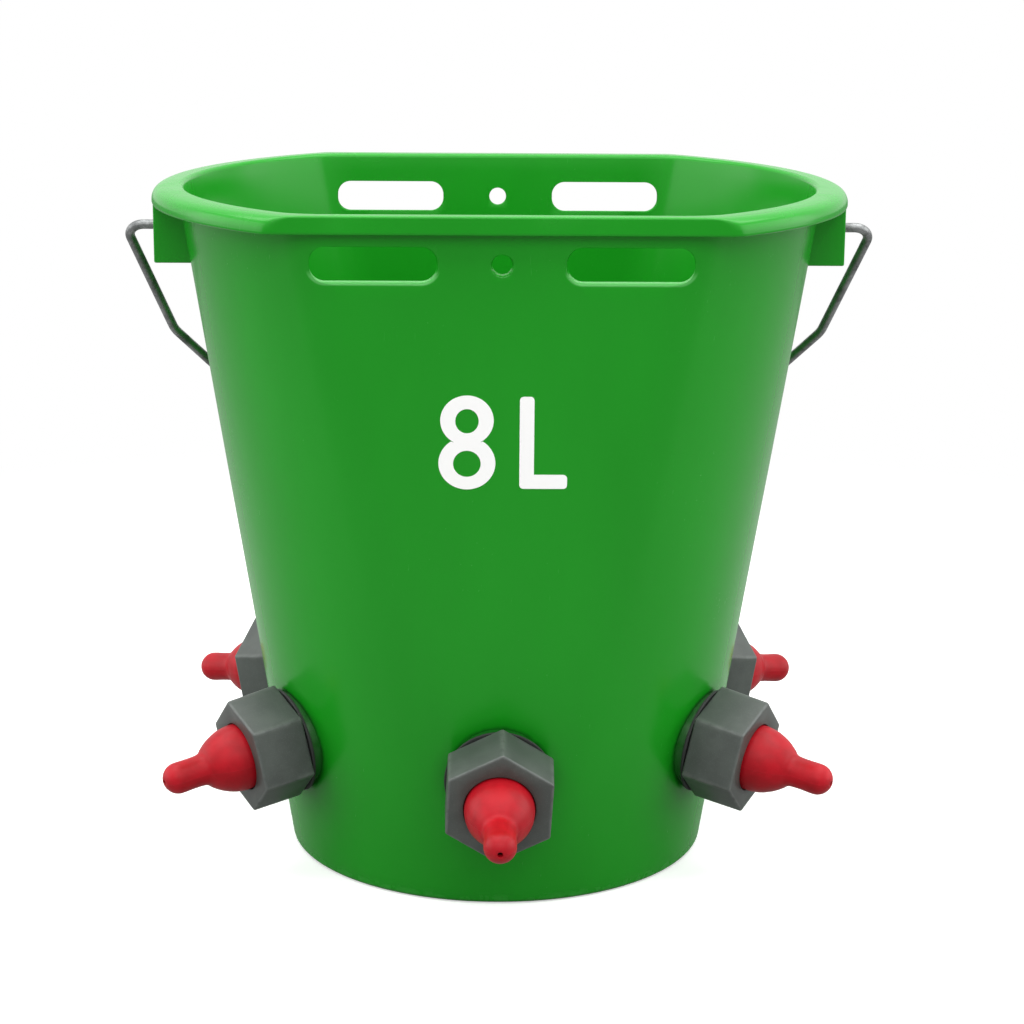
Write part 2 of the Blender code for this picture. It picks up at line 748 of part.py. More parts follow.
def nut_mesh(cutters):
    """A hexagon cap nut: bored for the spigot, with a lip that holds the teat's flange."""
    rear, front = nut_rear(), nut_front()
    bm = bmesh.new()
    bmesh.ops.create_cone(
        bm,
        cap_ends=True,
        segments=6,
        radius1=NUT_REAR_WIDTH / math.sqrt(3.0),
        radius2=NUT_FRONT_WIDTH / math.sqrt(3.0),
        depth=front - rear,
    )
    bmesh.ops.translate(bm, vec=(0.0, 0.0, (front + rear) / 2.0), verts=bm.verts[:])
    bmesh.ops.bevel(bm, geom=bm.edges[:], offset=NUT_EDGE_CHAMFER, segments=1, affect="EDGES")
    blank = bpy.data.meshes.new("nut")
    bm.to_mesh(blank)
    bm.free()
    nut = mesh_object("nut", blank, cutters)
    bore_end = front - NUT_LIP
    profile = [
        (NUT_LIP_HOLE_RADIUS, front + NUT_LIP),
        (NUT_LIP_HOLE_RADIUS, bore_end),
        (nut_bore_radius(), bore_end),
        (nut_bore_radius(), rear - NUT_LIP),
    ]
    bore = turned_mesh("nut_bore", profile, cutters, closed=False)
    close_ends(bore)
    boolean(nut, mesh_object("nut_bore", bore, cutters), "DIFFERENCE")
    mesh = applied_mesh(nut, "cap_nut")
    hide_cutter(nut)
    return mesh


def close_ends(mesh):
    """Cap the open ends of a turned shape."""
    bm = bmesh.new()
    bm.from_mesh(mesh)
    bmesh.ops.holes_fill(bm, edges=[e for e in bm.edges if e.is_boundary], sides=0)
    bmesh.ops.recalc_face_normals(bm, faces=bm.faces[:])
    bm.to_mesh(mesh)
    bm.free()


def make_stations(group, cutters, finishes):
    """Five copies of the valve, each piece an object of its own and each nut tightened to its own turn."""
    pieces = {
        "valve_body": finish_mesh(valve_body_mesh(cutters), finishes["valve"]),
        "inner_gasket": finish_mesh(
            washer_mesh(
                "inner_gasket",
                nut_bore_radius(),
                FLANGE_RADIUS,
                flange_top() + CLEARANCE,
                inner_seat() - CLEARANCE,
                cutters,
            ),
            finishes["gasket"],
        ),
        "outer_gasket": finish_mesh(
            washer_mesh(
                "outer_gasket",
                nut_bore_radius(),
                OUTER_GASKET_RADIUS,
                CLEARANCE,
                CLEARANCE + OUTER_GASKET_THICKNESS,
                cutters,
            ),
            finishes["gasket"],
        ),
        "check_ball": finish_mesh(ball_mesh(), finishes["ball"]),
        "ball_cage": finish_mesh(cage_mesh(cutters), finishes["valve"]),
        "teat": finish_mesh(teat_mesh(cutters), finishes["rubber"]),
        "cap_nut": finish_mesh(nut_mesh(cutters), finishes["nut"]),
    }
    lifts = {"check_ball": ball_rest()}
    for number, (angle, nut_turn) in enumerate(zip(STATION_ANGLES, NUT_TURNS), 1):
        frame = station_matrix(angle)
        turns = {"cap_nut": math.radians(nut_turn)}
        for name, mesh in pieces.items():
            lift = Matrix.Translation((0.0, 0.0, lifts.get(name, 0.0)))
            turn = Matrix.Rotation(turns.get(name, 0.0), 4, "Z")
            mesh_object(f"{name}_{number}", mesh, group, frame @ lift @ turn)


def main():
    clear_scene()
    group = new_collection(COLLECTION)
    cutters = new_collection(CUTTERS)
    finishes = {
        "bucket": material("green_plastic", (0.03, 0.27, 0.03), 0.35),
        "wire": material("galvanised_wire", (0.35, 0.35, 0.34), 0.35, 1.0),
        "nut": material("grey_plastic", (0.10, 0.12, 0.11), 0.5),
        "valve": material("valve_plastic", (0.16, 0.17, 0.17), 0.5),
        "rubber": material("red_rubber", (0.55, 0.02, 0.04), 0.45),
        "gasket": material("black_rubber", (0.02, 0.02, 0.02), 0.7),
        "ball": material("white_plastic", (0.75, 0.75, 0.72), 0.35),
    }
    make_bucket_shell(group, cutters, finishes["bucket"])
    make_bail(group, cutters, finishes["wire"])
    make_stations(group, cutters, finishes)


main()
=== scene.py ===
"""Looks of the multi-teat feeding bucket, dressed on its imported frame.

The bucket stands on z = 0 with its axis on +Z, and its first teat points to -Y. All lengths are in metres.
Each sub-assembly is a class that holds its sizes and makes its own meshes. Turned pieces, screw threads and
the bail's wire come from Geometry Nodes trees, and the moulded bucket from lofted rings and Booleans.
"""
import logging
import math
from collections.abc import Callable, Iterable, Mapping, Sequence
from dataclasses import dataclass, field
from enum import Enum

import bmesh
import bpy
from mathutils import Matrix, Vector


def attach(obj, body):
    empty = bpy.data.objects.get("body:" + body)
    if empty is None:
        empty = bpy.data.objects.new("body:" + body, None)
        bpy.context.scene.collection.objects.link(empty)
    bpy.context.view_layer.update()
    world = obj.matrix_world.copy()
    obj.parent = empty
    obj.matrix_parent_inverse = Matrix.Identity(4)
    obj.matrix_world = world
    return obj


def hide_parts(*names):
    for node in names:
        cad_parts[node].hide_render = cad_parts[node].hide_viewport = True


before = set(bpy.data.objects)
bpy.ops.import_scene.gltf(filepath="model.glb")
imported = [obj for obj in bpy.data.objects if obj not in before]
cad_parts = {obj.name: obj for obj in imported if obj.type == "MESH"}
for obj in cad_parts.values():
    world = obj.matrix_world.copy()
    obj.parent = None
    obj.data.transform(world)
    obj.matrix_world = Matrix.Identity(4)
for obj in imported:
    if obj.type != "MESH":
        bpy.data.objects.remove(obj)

MM = 0.001
LOG = logging.getLogger("feeding_bucket")

Point2 = tuple[float, float]
Point3 = tuple[float, float, float]
Colour = tuple[float, float, float, float]
Ring = list[Point3]

STATION_PLACE = "station_place"
WIRE_PLACE = "wire_place"
WHITE: Colour = (1.0, 1.0, 1.0, 1.0)


# Shader graphs


def srgb(red: int, green: int, blue: int) -> Colour:
    """Turn an 8-bit display colour into the linear colour that a shader takes.

    Args:
        red: Red, from 0 to 255.
        green: Green, from 0 to 255.
        blue: Blue, from 0 to 255.

    Returns:
        The linear colour with an alpha of 1.
    """
    channels = []
    for channel in (red, green, blue):
        share = channel / 255.0
        channels.append(share / 12.92 if share <= 0.04045 else ((share + 0.055) / 1.055) ** 2.4)
    return (channels[0], channels[1], channels[2], 1.0)


class Value:
    """An output of a shader node, on which Python's operators add Math nodes."""

    def __init__(self, graph: "Graph", link: bpy.types.NodeSocket) -> None:
        """Hold a link and the graph that it belongs to."""
        self.graph = graph
        self.link = link

    def _math(self, operation: str, *terms: "Value | float") -> "Value":
        """Add one Math node with the given operation, and its terms in order."""
        return self.graph.node("ShaderNodeMath", {"operation": operation}, dict(enumerate(terms)))

    def __add__(self, other: "Value | float") -> "Value":
        """Sum."""
        return self._math("ADD", self, other)

    __radd__ = __add__

    def __sub__(self, other: "Value | float") -> "Value":
        """Difference."""
        return self._math("SUBTRACT", self, other)

    def __rsub__(self, other: float) -> "Value":
        """Difference from a number."""
        return self._math("SUBTRACT", other, self)

    def __mul__(self, other: "Value | float") -> "Value":
        """Product."""
        return self._math("MULTIPLY", self, other)

    __rmul__ = __mul__

    def __neg__(self) -> "Value":
        """Negative."""
        return self._math("MULTIPLY", self, -1.0)

    def __abs__(self) -> "Value":
        """Size without its sign."""
        return self._math("ABSOLUTE", self)

    def least(self, other: "Value | float") -> "Value":
        """The smaller of two values."""
        return self._math("MINIMUM", self, other)

    def most(self, other: "Value | float") -> "Value":
        """The larger of two values."""
        return self._math("MAXIMUM", self, other)

    def angle(self, other: "Value") -> "Value":
        """Angle whose tangent is this value over the other."""
        return self._math("ARCTAN2", self, other)

    def sine(self) -> "Value":
        """Sine."""
        return self._math("SINE", self)

    def root(self) -> "Value":
        """Square root."""
        return self._math("SQRT", self)

    def fold(self, span: float) -> "Value":
        """Zigzag between 0 and span."""
        return self._math("PINGPONG", self, span)

    def ramp(self, low: float, high: float) -> "Value":
        """Rise smoothly from 0 at low to 1 at high, or fall if high is lower.

        Args:
            low: Where the result is 0.
            high: Where the result is 1.

        Returns:
            A value from 0 to 1.
        """
        if high < low:
            return 1.0 - self.ramp(high, low)
        settings = {"interpolation_type": "SMOOTHSTEP", "clamp": True}
        sockets = {"Value": self, "From Min": low, "From Max": high}
        return self.graph.node("ShaderNodeMapRange", settings, sockets)


class Graph:
    """A shader under construction: a material's node tree, or the world's."""

    def __init__(self, name: str, world: bpy.types.World | None = None) -> None:
        """Start a shader.

        Args:
            name: The new material's name.
            world: The world, where the shader is the world's own.
        """
        self.owner = world or bpy.data.materials.new(name)
        self.owner.use_nodes = True
        self.tree = self.owner.node_tree

    def node(
        self,
        kind: str,
        settings: Mapping[str, object] | None = None,
        sockets: Mapping[str | int, object] | None = None,
        output: str | int = 0,
    ) -> Value:
        """Add a node.

        Args:
            kind: The node's type name.
            settings: The node's own properties, set first.
            sockets: Values or links for its inputs, by name or number.
            output: Which output to return.

        Returns:
            The chosen output.
        """
        made = self.tree.nodes.new(kind)
        for key, value in (settings or {}).items():
            setattr(made, key, value)
        for key, value in (sockets or {}).items():
            if isinstance(value, Value):
                self.tree.links.new(value.link, made.inputs[key])
            else:
                made.inputs[key].default_value = value
        return Value(self, made.outputs[output])

    def place(self) -> Value:
        """The point's place in the bucket's own frame."""
        return self.node("ShaderNodeTexCoord", output="Object")

    def local(self) -> Value:
        """The point's place in its station's frame, which each valve piece carries as an attribute."""
        return self.node("ShaderNodeAttribute", {"attribute_name": STATION_PLACE}, output="Vector")

    def stretched(self, vector: Value, scale: Point3) -> Value:
        """Scale a vector's parts by three factors."""
        return self.node("ShaderNodeVectorMath", {"operation": "MULTIPLY"}, {0: vector, 1: scale})

    def split(self, vector: Value) -> tuple[Value, Value, Value]:
        """Take a vector apart into its three numbers."""
        parts = self.node("ShaderNodeSeparateXYZ", {}, {0: vector}).link.node.outputs
        return Value(self, parts[0]), Value(self, parts[1]), Value(self, parts[2])

    def noise(self, vector: Value, scale: float, detail: float = 2.0, roughness: float = 0.5) -> Value:
        """Cloudy noise.

        Args:
            vector: Where it is read.
            scale: How many clouds to the metre.
            detail: How many finer layers are added.
            roughness: How strong the finer layers are.

        Returns:
            A value about 0.5.
        """
        sockets = {"Vector": vector, "Scale": scale, "Detail": detail, "Roughness": roughness}
        return self.node("ShaderNodeTexNoise", {"noise_dimensions": "3D"}, sockets)

    def cells(self, vector: Value, scale: float, output: str = "Distance") -> Value:
        """Voronoi cells, so many to the metre, read as a distance or a colour."""
        return self.node("ShaderNodeTexVoronoi", {}, {"Vector": vector, "Scale": scale}, output)

    def mix(self, share: "Value | float", first: "Value | Colour", second: "Value | Colour") -> Value:
        """Mix two colours, from the first at a share of 0 to the second at 1."""
        sockets = {0: share, 6: first, 7: second}
        return self.node("ShaderNodeMix", {"data_type": "RGBA", "clamp_factor": True}, sockets, 2)

    def bump(self, height: Value, distance: float, strength: float, normal: Value | None = None) -> Value:
        """Turn a height into a normal.

        Args:
            height: The height, where 1 stands for distance.
            distance: The depth of the relief.
            strength: How much of it shows.
            normal: A normal that it is laid over.

        Returns:
            The new normal.
        """
        sockets = {"Height": height, "Distance": distance, "Strength": strength}
        if normal is not None:
            sockets["Normal"] = normal
        return self.node("ShaderNodeBump", {}, sockets)

    def finish(self, **sockets: object) -> bpy.types.Material:
        """Set the Principled shader's sockets.

        Args:
            sockets: Values or links, by socket name with _ for a space.

        Returns:
            The finished material.
        """
        shader = self.tree.nodes["Principled BSDF"]
        for key, value in sockets.items():
            socket = shader.inputs[key.replace("_", " ")]
            if isinstance(value, Value):
                self.tree.links.new(value.link, socket)
            else:
                socket.default_value = value
        return self.owner

    def seen(self, share: float = 1.0) -> Value:
        """Tell what is seen from what only lights.

        Args:
            share: The result for what shows in gloss and glass.

        Returns:
            1 for what the camera sees, share for what gloss and glass show, and 0 for other light.
        """
        rays = self.node("ShaderNodeLightPath").link.node.outputs
        kinds = ("Camera", "Glossy", "Transmission")
        camera, gloss, glass = (Value(self, rays[f"Is {kind} Ray"]) for kind in kinds)
        return camera.most(gloss.most(glass) * share)

    def surface(self, shader: Value) -> None:
        """Send a shader of its own to the output, in place of the one that the tree starts with.

        Args:
            shader: The shader's output.
        """
        target = next(node for node in self.tree.nodes if node.bl_idname.startswith("ShaderNodeOutput"))
        self.tree.nodes.remove(target.inputs["Surface"].links[0].from_node)
        self.tree.links.new(shader.link, target.inputs["Surface"])


# Finishes


@dataclass(frozen=True)
class MouldedGreen:
    """Glossy green polypropylene, as it comes from a polished mould and is stacked for storage."""

    colour: Colour = srgb(23, 148, 27)
    deep: Colour = srgb(19, 136, 22)
    # Pale green of scratches and worn spots, also used for the painted highlight under the slots.
    scuffed_and_highlight: Colour = srgb(86, 178, 88)
    # Dark green of the painted shade round the seats.
    seat_shade: Colour = srgb(8, 62, 14)
    roughness: float = 0.24
    rim_height: float = 277.0 * MM
    seat_height: float = 56.0 * MM
    seat_radius: float = 19.5 * MM
    slot_half: Point2 = (23.4 * MM, 6.35 * MM)
    slot_offset: float = 47.6 * MM
    slot_depth: float = 18.4 * MM
    slot_corner: float = 5.6 * MM
    slot_front: float = 103.95 * MM

    def painted_seat_shade(self, g: Graph, at: Value) -> Value:
        """Painted shade round the five seats, standing in for their contact shadow; none at the back, which
        has no seat.

        Args:
            g: The material's graph.
            at: Where it is read.

        Returns:
            A mask of painted shade that is strongest where the seat meets the wall.
        """
        x, y, height = g.split(at)
        around = x.angle(-y)
        across = (x * x + y * y).root() * around.fold(math.pi / 6.0).sine()
        rise = height - self.seat_height
        out = (across * across + rise * rise).root() + g.noise(at, 160.0, 3.0) * 2.0 * MM
        seated = abs(around).ramp(math.radians(152.0), math.radians(148.0))
        near = out.ramp(self.seat_radius + 3.2 * MM, self.seat_radius + 1.0 * MM)
        far = out.ramp(self.seat_radius + 9.0 * MM, self.seat_radius + 1.0 * MM)
        return seated * (0.62 * near + 0.20 * far)

    def painted_ledge_highlight(self, g: Graph, at: Value) -> Value:
        """A painted highlight along the bevels under the hanging slots.

        Args:
            g: The material's graph.
            at: Where it is read.

        Returns:
            A mask that runs round the lower half of each slot, on the outside only.
        """
        x, y, height = g.split(at)
        below = self.rim_height - self.slot_depth - height
        past_x = (abs(abs(x) - self.slot_offset) - (self.slot_half[0] - self.slot_corner)).most(0.0)
        past_z = (abs(below) - (self.slot_half[1] - self.slot_corner)).most(0.0)
        out = (past_x * past_x + past_z * past_z).root() - self.slot_corner
        outside = abs(y).ramp(self.slot_front - 2.4 * MM, self.slot_front - 1.9 * MM)
        return out.ramp(1.9 * MM, 1.1 * MM) * below.ramp(2.0 * MM, 5.5 * MM) * outside

    def build(self) -> bpy.types.Material:
        """Make the material.

        Returns:
            Glossy plastic with flow marks, fine stacking scratches, a worn rim, painted seat shade and
            painted slot highlights.
        """
        g = Graph("moulded_green")
        at = g.place()
        height = g.split(at)[2]
        flow = g.noise(g.stretched(at, (1.0, 1.0, 0.35)), 22.0, 3.0, 0.55)
        patch = g.noise(at, 9.0, 2.0)
        upright = g.noise(g.stretched(at, (1.0, 1.0, 0.02)), 1500.0, 2.0, 0.6).ramp(0.68, 0.80)
        slanted = g.noise(g.stretched(at, (1.0, 0.06, 1.0)), 900.0, 1.0, 0.6).ramp(0.74, 0.84)
        patches = g.noise(at, 28.0, 3.0).ramp(0.50, 0.72)
        scratch = (upright + slanted).least(1.0) * patches
        rim = height.ramp(self.rim_height - 9.0 * MM, self.rim_height - 1.0 * MM)
        rubbed = rim * g.noise(at, 45.0, 2.0, 0.5).ramp(0.45, 0.80)
        foot = height.ramp(5.0 * MM, 1.0 * MM) * g.noise(at, 220.0, 3.0).ramp(0.40, 0.75)
        tone = g.mix((flow * 1.1 - 0.05).least(1.0), self.deep, self.colour)
        tone = g.mix(scratch * 0.16, tone, self.scuffed_and_highlight)
        tone = g.mix(rubbed * 0.04 + foot * 0.20, tone, self.scuffed_and_highlight)
        # Painted shade round the valve seats.
        tone = g.mix(self.painted_seat_shade(g, at), tone, self.seat_shade)
        # Painted highlight along the lower bevels of the hanging slots.
        tone = g.mix(self.painted_ledge_highlight(g, at) * 0.9, tone, self.scuffed_and_highlight)
        rough = self.roughness + (patch - 0.5) * 0.07 + scratch * 0.16 + rubbed * 0.06 + foot * 0.25
        skin = g.noise(at, 500.0, 1.0, 0.5)
        waves = g.noise(g.stretched(at, (1.0, 1.0, 1.4)), 42.0, 1.0)
        normal = g.bump(waves, 0.20 * MM, 0.4)
        normal = g.bump(skin - scratch * 0.5, 0.02 * MM, 0.3, normal)
        return g.finish(Base_Color=tone, Roughness=rough, Normal=normal, IOR=1.49, Specular_IOR_Level=0.26)


@dataclass(frozen=True)
class GalvanisedWire:
    """Drawn steel wire with a dull zinc coat."""

    bright: Colour = srgb(142, 144, 144)
    dull: Colour = srgb(90, 92, 92)
    stained: Colour = srgb(118, 112, 104)

    def build(self) -> bpy.types.Material:
        """Make the material.

        Returns:
            A metal with zinc spangles, lengthwise die lines and dull patches.
        """
        g = Graph("galvanised_wire")
        at = g.place()
        along = g.node("ShaderNodeAttribute", {"attribute_name": WIRE_PLACE}, output="Vector")
        spangle = g.split(g.cells(at, 650.0, "Color"))[0]
        dulled = g.noise(at, 120.0, 4.0, 0.6).ramp(0.35, 0.70)
        lines = g.noise(g.stretched(along, (2.2, 60.0, 1.0)), 8.0, 2.0, 0.6)
        spots = g.noise(at, 380.0, 3.0).ramp(0.66, 0.78)
        tone = g.mix(spangle * 0.45 + dulled * 0.55, self.bright, self.dull)
        tone = g.mix(spots * 0.35, tone, self.stained)
        rough = 0.32 + dulled * 0.14 + spangle * 0.08
        normal = g.bump(lines, 0.04 * MM, 0.5)
        return g.finish(Base_Color=tone, Roughness=rough, Metallic=0.88, Normal=normal)


@dataclass(frozen=True)
class MouldedGrey:
    """Matt grey filled plastic, with a fine sparkle of filler and paler worn corners."""

    name: str = "moulded_grey"
    colour: Colour = srgb(74, 80, 76)
    dark: Colour = srgb(62, 67, 64)
    worn: Colour = srgb(112, 117, 113)
    across: float = 41.0 * MM
    front: float = 23.3 * MM

    def build(self) -> bpy.types.Material:
        """Make the material.

        Returns:
            A matt plastic, with worn edges where it is a hexagon of a width given by across.
        """
        g = Graph(self.name)
        world = g.place()
        cloud = g.noise(world, 70.0, 4.0, 0.6)
        grain = g.noise(world, 2400.0, 2.0)
        filler = g.cells(world, 1500.0).ramp(0.30, 0.12)
        tone = g.mix(cloud.ramp(0.30, 0.72), self.dark, self.colour)
        tone = g.mix(filler * 0.22, tone, self.worn)
        rough = 0.46 + (cloud - 0.5) * 0.16 + filler * 0.06
        if self.across > 0.0:
            x, y, z = g.split(g.local())
            reach = (x * x + y * y).root()
            slope = math.sqrt(0.75)
            flats = abs(x).most(abs(0.5 * x + slope * y)).most(abs(0.5 * x - slope * y))
            corner = reach.ramp(0.548 * self.across, 0.570 * self.across)
            brim = flats.ramp(0.462 * self.across, 0.480 * self.across)
            brim = brim * z.ramp(self.front - 1.2 * MM, self.front)
            rub = corner.most(brim) * g.noise(world, 240.0, 3.0).ramp(0.25, 0.62)
            tone = g.mix(rub * 0.36, tone, self.worn)
            rough = rough - rub * 0.08
        normal = g.bump(grain, 0.05 * MM, 0.6)
        return g.finish(Base_Color=tone, Roughness=rough, Normal=normal, IOR=1.5)


@dataclass(frozen=True)
class TeatRubber:
    """Soft red natural rubber with a satin skin and a mould line along both sides."""

    colour: Colour = srgb(178, 9, 27)
    # Deeper red, for the cloudy tone and for the painted shade at the nut.
    deep: Colour = srgb(154, 7, 21)
    bloom: Colour = srgb(190, 42, 56)
    nut_face: float = 23.3 * MM
    tip: float = 57.1 * MM

    def build(self) -> bpy.types.Material:
        """Make the material.

        Returns:
            A satin rubber with flow bands, a dusty bloom, a raised mould line and painted shade where it
            leaves the nut.
        """
        g = Graph("teat_rubber")
        at = g.local()
        world = g.place()
        _, y, z = g.split(at)
        cloud = g.noise(world, 95.0, 4.0, 0.6)
        dust = g.noise(world, 420.0, 3.0, 0.7).ramp(0.52, 0.80)
        bands = g.noise(g.stretched(at, (0.25, 0.25, 1.0)), 420.0, 2.0, 0.6)
        # Painted shade on the teat just outside the nut's hole.
        root = z.ramp(self.nut_face + 4.0 * MM, self.nut_face - 1.0 * MM)
        end = z.ramp(self.tip - 6.0 * MM, self.tip)
        tone = g.mix(cloud.ramp(0.30, 0.70), self.deep, self.colour)
        tone = g.mix(dust * 0.12 + end * 0.08, tone, self.bloom)
        # The painted shade darkens the teat where it leaves the nut.
        tone = g.mix(root * 0.45, tone, self.deep)
        seam = abs(y).ramp(0.34 * MM, 0.16 * MM)
        rough = 0.42 + (cloud - 0.5) * 0.14 + dust * 0.14
        normal = g.bump(g.noise(world, 900.0, 2.0) * 0.4 + bands * 0.5, 0.06 * MM, 0.55)
        normal = g.bump(seam, 0.10 * MM, 0.5, normal)
        return g.finish(Base_Color=tone, Roughness=rough, Normal=normal, IOR=1.5, Specular_IOR_Level=0.22)


@dataclass(frozen=True)
class GasketRubber:
    """Black rubber with a matt, slightly dusty skin."""

    colour: Colour = srgb(22, 24, 23)
    dusty: Colour = srgb(46, 49, 46)

    def build(self) -> bpy.types.Material:
        """Make the material.

        Returns:
            A matt rubber with dust in patches.
        """
        g = Graph("gasket_rubber")
        at = g.place()
        dust = g.noise(at, 300.0, 4.0, 0.65).ramp(0.45, 0.80)
        tone = g.mix(dust * 0.6, self.colour, self.dusty)
        normal = g.bump(g.noise(at, 1400.0, 2.0), 0.05 * MM, 0.5)
        return g.finish(Base_Color=tone, Roughness=0.62 + dust * 0.18, Normal=normal)


@dataclass(frozen=True)
class BallPlastic:
    """White acetal with a faint yellow cast and a mould line round its middle."""

    colour: Colour = srgb(226, 225, 216)
    shade: Colour = srgb(204, 201, 188)

    def build(self) -> bpy.types.Material:
        """Make the material.

        Returns:
            A smooth white plastic.
        """
        g = Graph("ball_plastic")
        at = g.place()
        cloud = g.noise(at, 180.0, 3.0)
        tone = g.mix(cloud, self.shade, self.colour)
        normal = g.bump(g.noise(at, 900.0, 1.0), 0.02 * MM, 0.4)
        return g.finish(Base_Color=tone, Roughness=0.24 + cloud * 0.12, Normal=normal, IOR=1.48)


@dataclass(frozen=True)
class PrintInk:
    """White screen-print ink, laid on in one thin, slightly uneven coat."""

    colour: Colour = srgb(255, 255, 254)
    thin: Colour = srgb(232, 242, 232)

    def build(self) -> bpy.types.Material:
        """Make the material.

        Returns:
            A white ink that is thinner in specks.
        """
        g = Graph("print_ink")
        at = g.place()
        thin = g.noise(at, 520.0, 4.0, 0.7).ramp(0.62, 0.82)
        tone = g.mix(thin * 0.55, self.colour, self.thin)
        normal = g.bump(g.noise(at, 1300.0, 2.0), 0.02 * MM, 0.4)
        return g.finish(Base_Color=tone, Roughness=0.42 + thin * 0.12, Normal=normal)


@dataclass(frozen=True)
class PaleFloor:
    """Plain pale floor, lifted to white for the camera so that only the object's shadow shows."""

    colour: Colour = (0.80, 0.80, 0.80, 1.0)
    bounce: Colour = (0.27, 0.27, 0.27, 1.0)
    lift: float = 0.42
    near: float = 0.30
    far: float = 0.75
    gloss: float = 0.12

    def build(self) -> bpy.types.Material:
        """Make the material.

        Returns:
            A matt near-white for the camera, pure white away from the object, and duller for the light it
            throws back.
        """
        g = Graph("pale_floor")
        x, y, _ = g.split(g.place())
        away = (x * x + y * y).root().ramp(self.near, self.far)
        plain = g.node("ShaderNodeBsdfDiffuse", {}, {"Color": self.colour})
        glow = g.node("ShaderNodeEmission", {}, {"Color": WHITE, "Strength": self.lift})
        lifted = g.node("ShaderNodeAddShader", {}, {0: plain, 1: glow})
        backdrop = g.node("ShaderNodeEmission", {}, {"Color": WHITE, "Strength": 1.0})
        shown = g.node("ShaderNodeMixShader", {}, {0: away, 1: lifted, 2: backdrop})
        dull = g.node("ShaderNodeBsdfDiffuse", {}, {"Color": self.bounce})
        g.surface(g.node("ShaderNodeMixShader", {}, {0: g.seen(self.gloss), 1: dull, 2: shown}))
        return g.owner


class Finish(Enum):
    """The record's material slots, and the finish of each."""

    BUCKET = ("bucket_plastic", MouldedGreen())
    WIRE = ("bail_wire", GalvanisedWire())
    NUT = ("nut_plastic", MouldedGrey())
    VALVE = ("valve_plastic", MouldedGrey(
        name="valve_grey",
        colour=srgb(112, 116, 116),
        dark=srgb(96, 100, 100),
        worn=srgb(150, 152, 150),
        across=0.0,
    ))
    TEAT = ("teat_rubber", TeatRubber())
    GASKET = ("gasket_rubber", GasketRubber())
    BALL = ("ball_plastic", BallPlastic())

    @property
    def slot(self) -> str:
        """The record's name for this finish."""
        return self.value[0]


class Paints:
    """The finished materials, each made once."""

    def __init__(self) -> None:
        """Make every finish."""
        self.by_finish = {finish: finish.value[1].build() for finish in Finish}
        self.ink = PrintInk().build()
        self.floor = PaleFloor().build()

    def __getitem__(self, finish: Finish) -> bpy.types.Material:
        """The material of a finish."""
        return self.by_finish[finish]


# Mesh tools


def add_object(name: str, data: bpy.types.ID) -> bpy.types.Object:
    """Put data in the scene as an object.

    Args:
        name: The object's name.
        data: Its mesh, curve, light or camera.

    Returns:
        The object, at the origin.
    """
    thing = bpy.data.objects.new(name, data)
    bpy.context.scene.collection.objects.link(thing)
    return thing


def mesh_from(bm: bmesh.types.BMesh, name: str) -> bpy.types.Mesh:
    """Write a bmesh into a new mesh, and free it.

    Args:
        bm: The bmesh.
        name: The mesh's name.

    Returns:
        The mesh.
    """
    mesh = bpy.data.meshes.new(name)
    bm.to_mesh(mesh)
    bm.free()
    return mesh


def settled(thing: bpy.types.Object, name: str) -> bpy.types.Mesh:
    """Turn an object with modifiers into a plain mesh, and remove the object.

    Args:
        thing: The object.
        name: The new mesh's name.

    Returns:
        The mesh that its modifiers make.
    """
    bpy.context.view_layer.update()
    evaluated = thing.evaluated_get(bpy.context.evaluated_depsgraph_get())
    mesh = bpy.data.meshes.new_from_object(evaluated)
    mesh.name = name
    bpy.data.objects.remove(thing, do_unlink=True)
    return mesh


def outward(mesh: bpy.types.Mesh, merge: float = 0.0) -> bpy.types.Mesh:
    """Turn a mesh's faces outwards.

    Args:
        mesh: The mesh, which is changed.
        merge: The distance under which its points are joined first.

    Returns:
        The same mesh.
    """
    bm = bmesh.new()
    bm.from_mesh(mesh)
    if merge > 0.0:
        bmesh.ops.remove_doubles(bm, verts=bm.verts[:], dist=merge)
    bmesh.ops.recalc_face_normals(bm, faces=bm.faces[:])
    bm.to_mesh(mesh)
    bm.free()
    return mesh


def line_through(name: str, loops: Iterable[Sequence[Point3]], closed: bool) -> bpy.types.Curve:
    """Make curve data of straight pieces.

    Args:
        name: The curve's name.
        loops: The points of each line, in order.
        closed: Whether each line is a loop.

    Returns:
        The curve.
    """
    curve = bpy.data.curves.new(name, "CURVE")
    curve.dimensions = "3D"
    for loop in loops:
        spline = curve.splines.new("POLY")
        spline.points.add(len(loop) - 1)
        for point, place in zip(spline.points, loop):
            point.co = (*place, 1.0)
        spline.use_cyclic_u = closed
    return curve


def loft(name: str, rings: Sequence[Ring]) -> bpy.types.Mesh:
    """Join rings of equally many points, and cap the first and last.

    Args:
        name: The mesh's name.
        rings: The rings, from one end to the other.

    Returns:
        A closed mesh whose faces point outwards.
    """
    count = len(rings[0])
    faces: list[list[int]] = []
    for row in range(len(rings) - 1):
        low, high = row * count, (row + 1) * count
        for i in range(count):
            j = (i + 1) % count
            faces.append([low + i, low + j, high + j, high + i])
    faces.append(list(reversed(range(count))))
    faces.append([(len(rings) - 1) * count + i for i in range(count)])
    mesh = bpy.data.meshes.new(name)
    mesh.from_pydata([point for ring in rings for point in ring], [], faces)
    return outward(mesh)


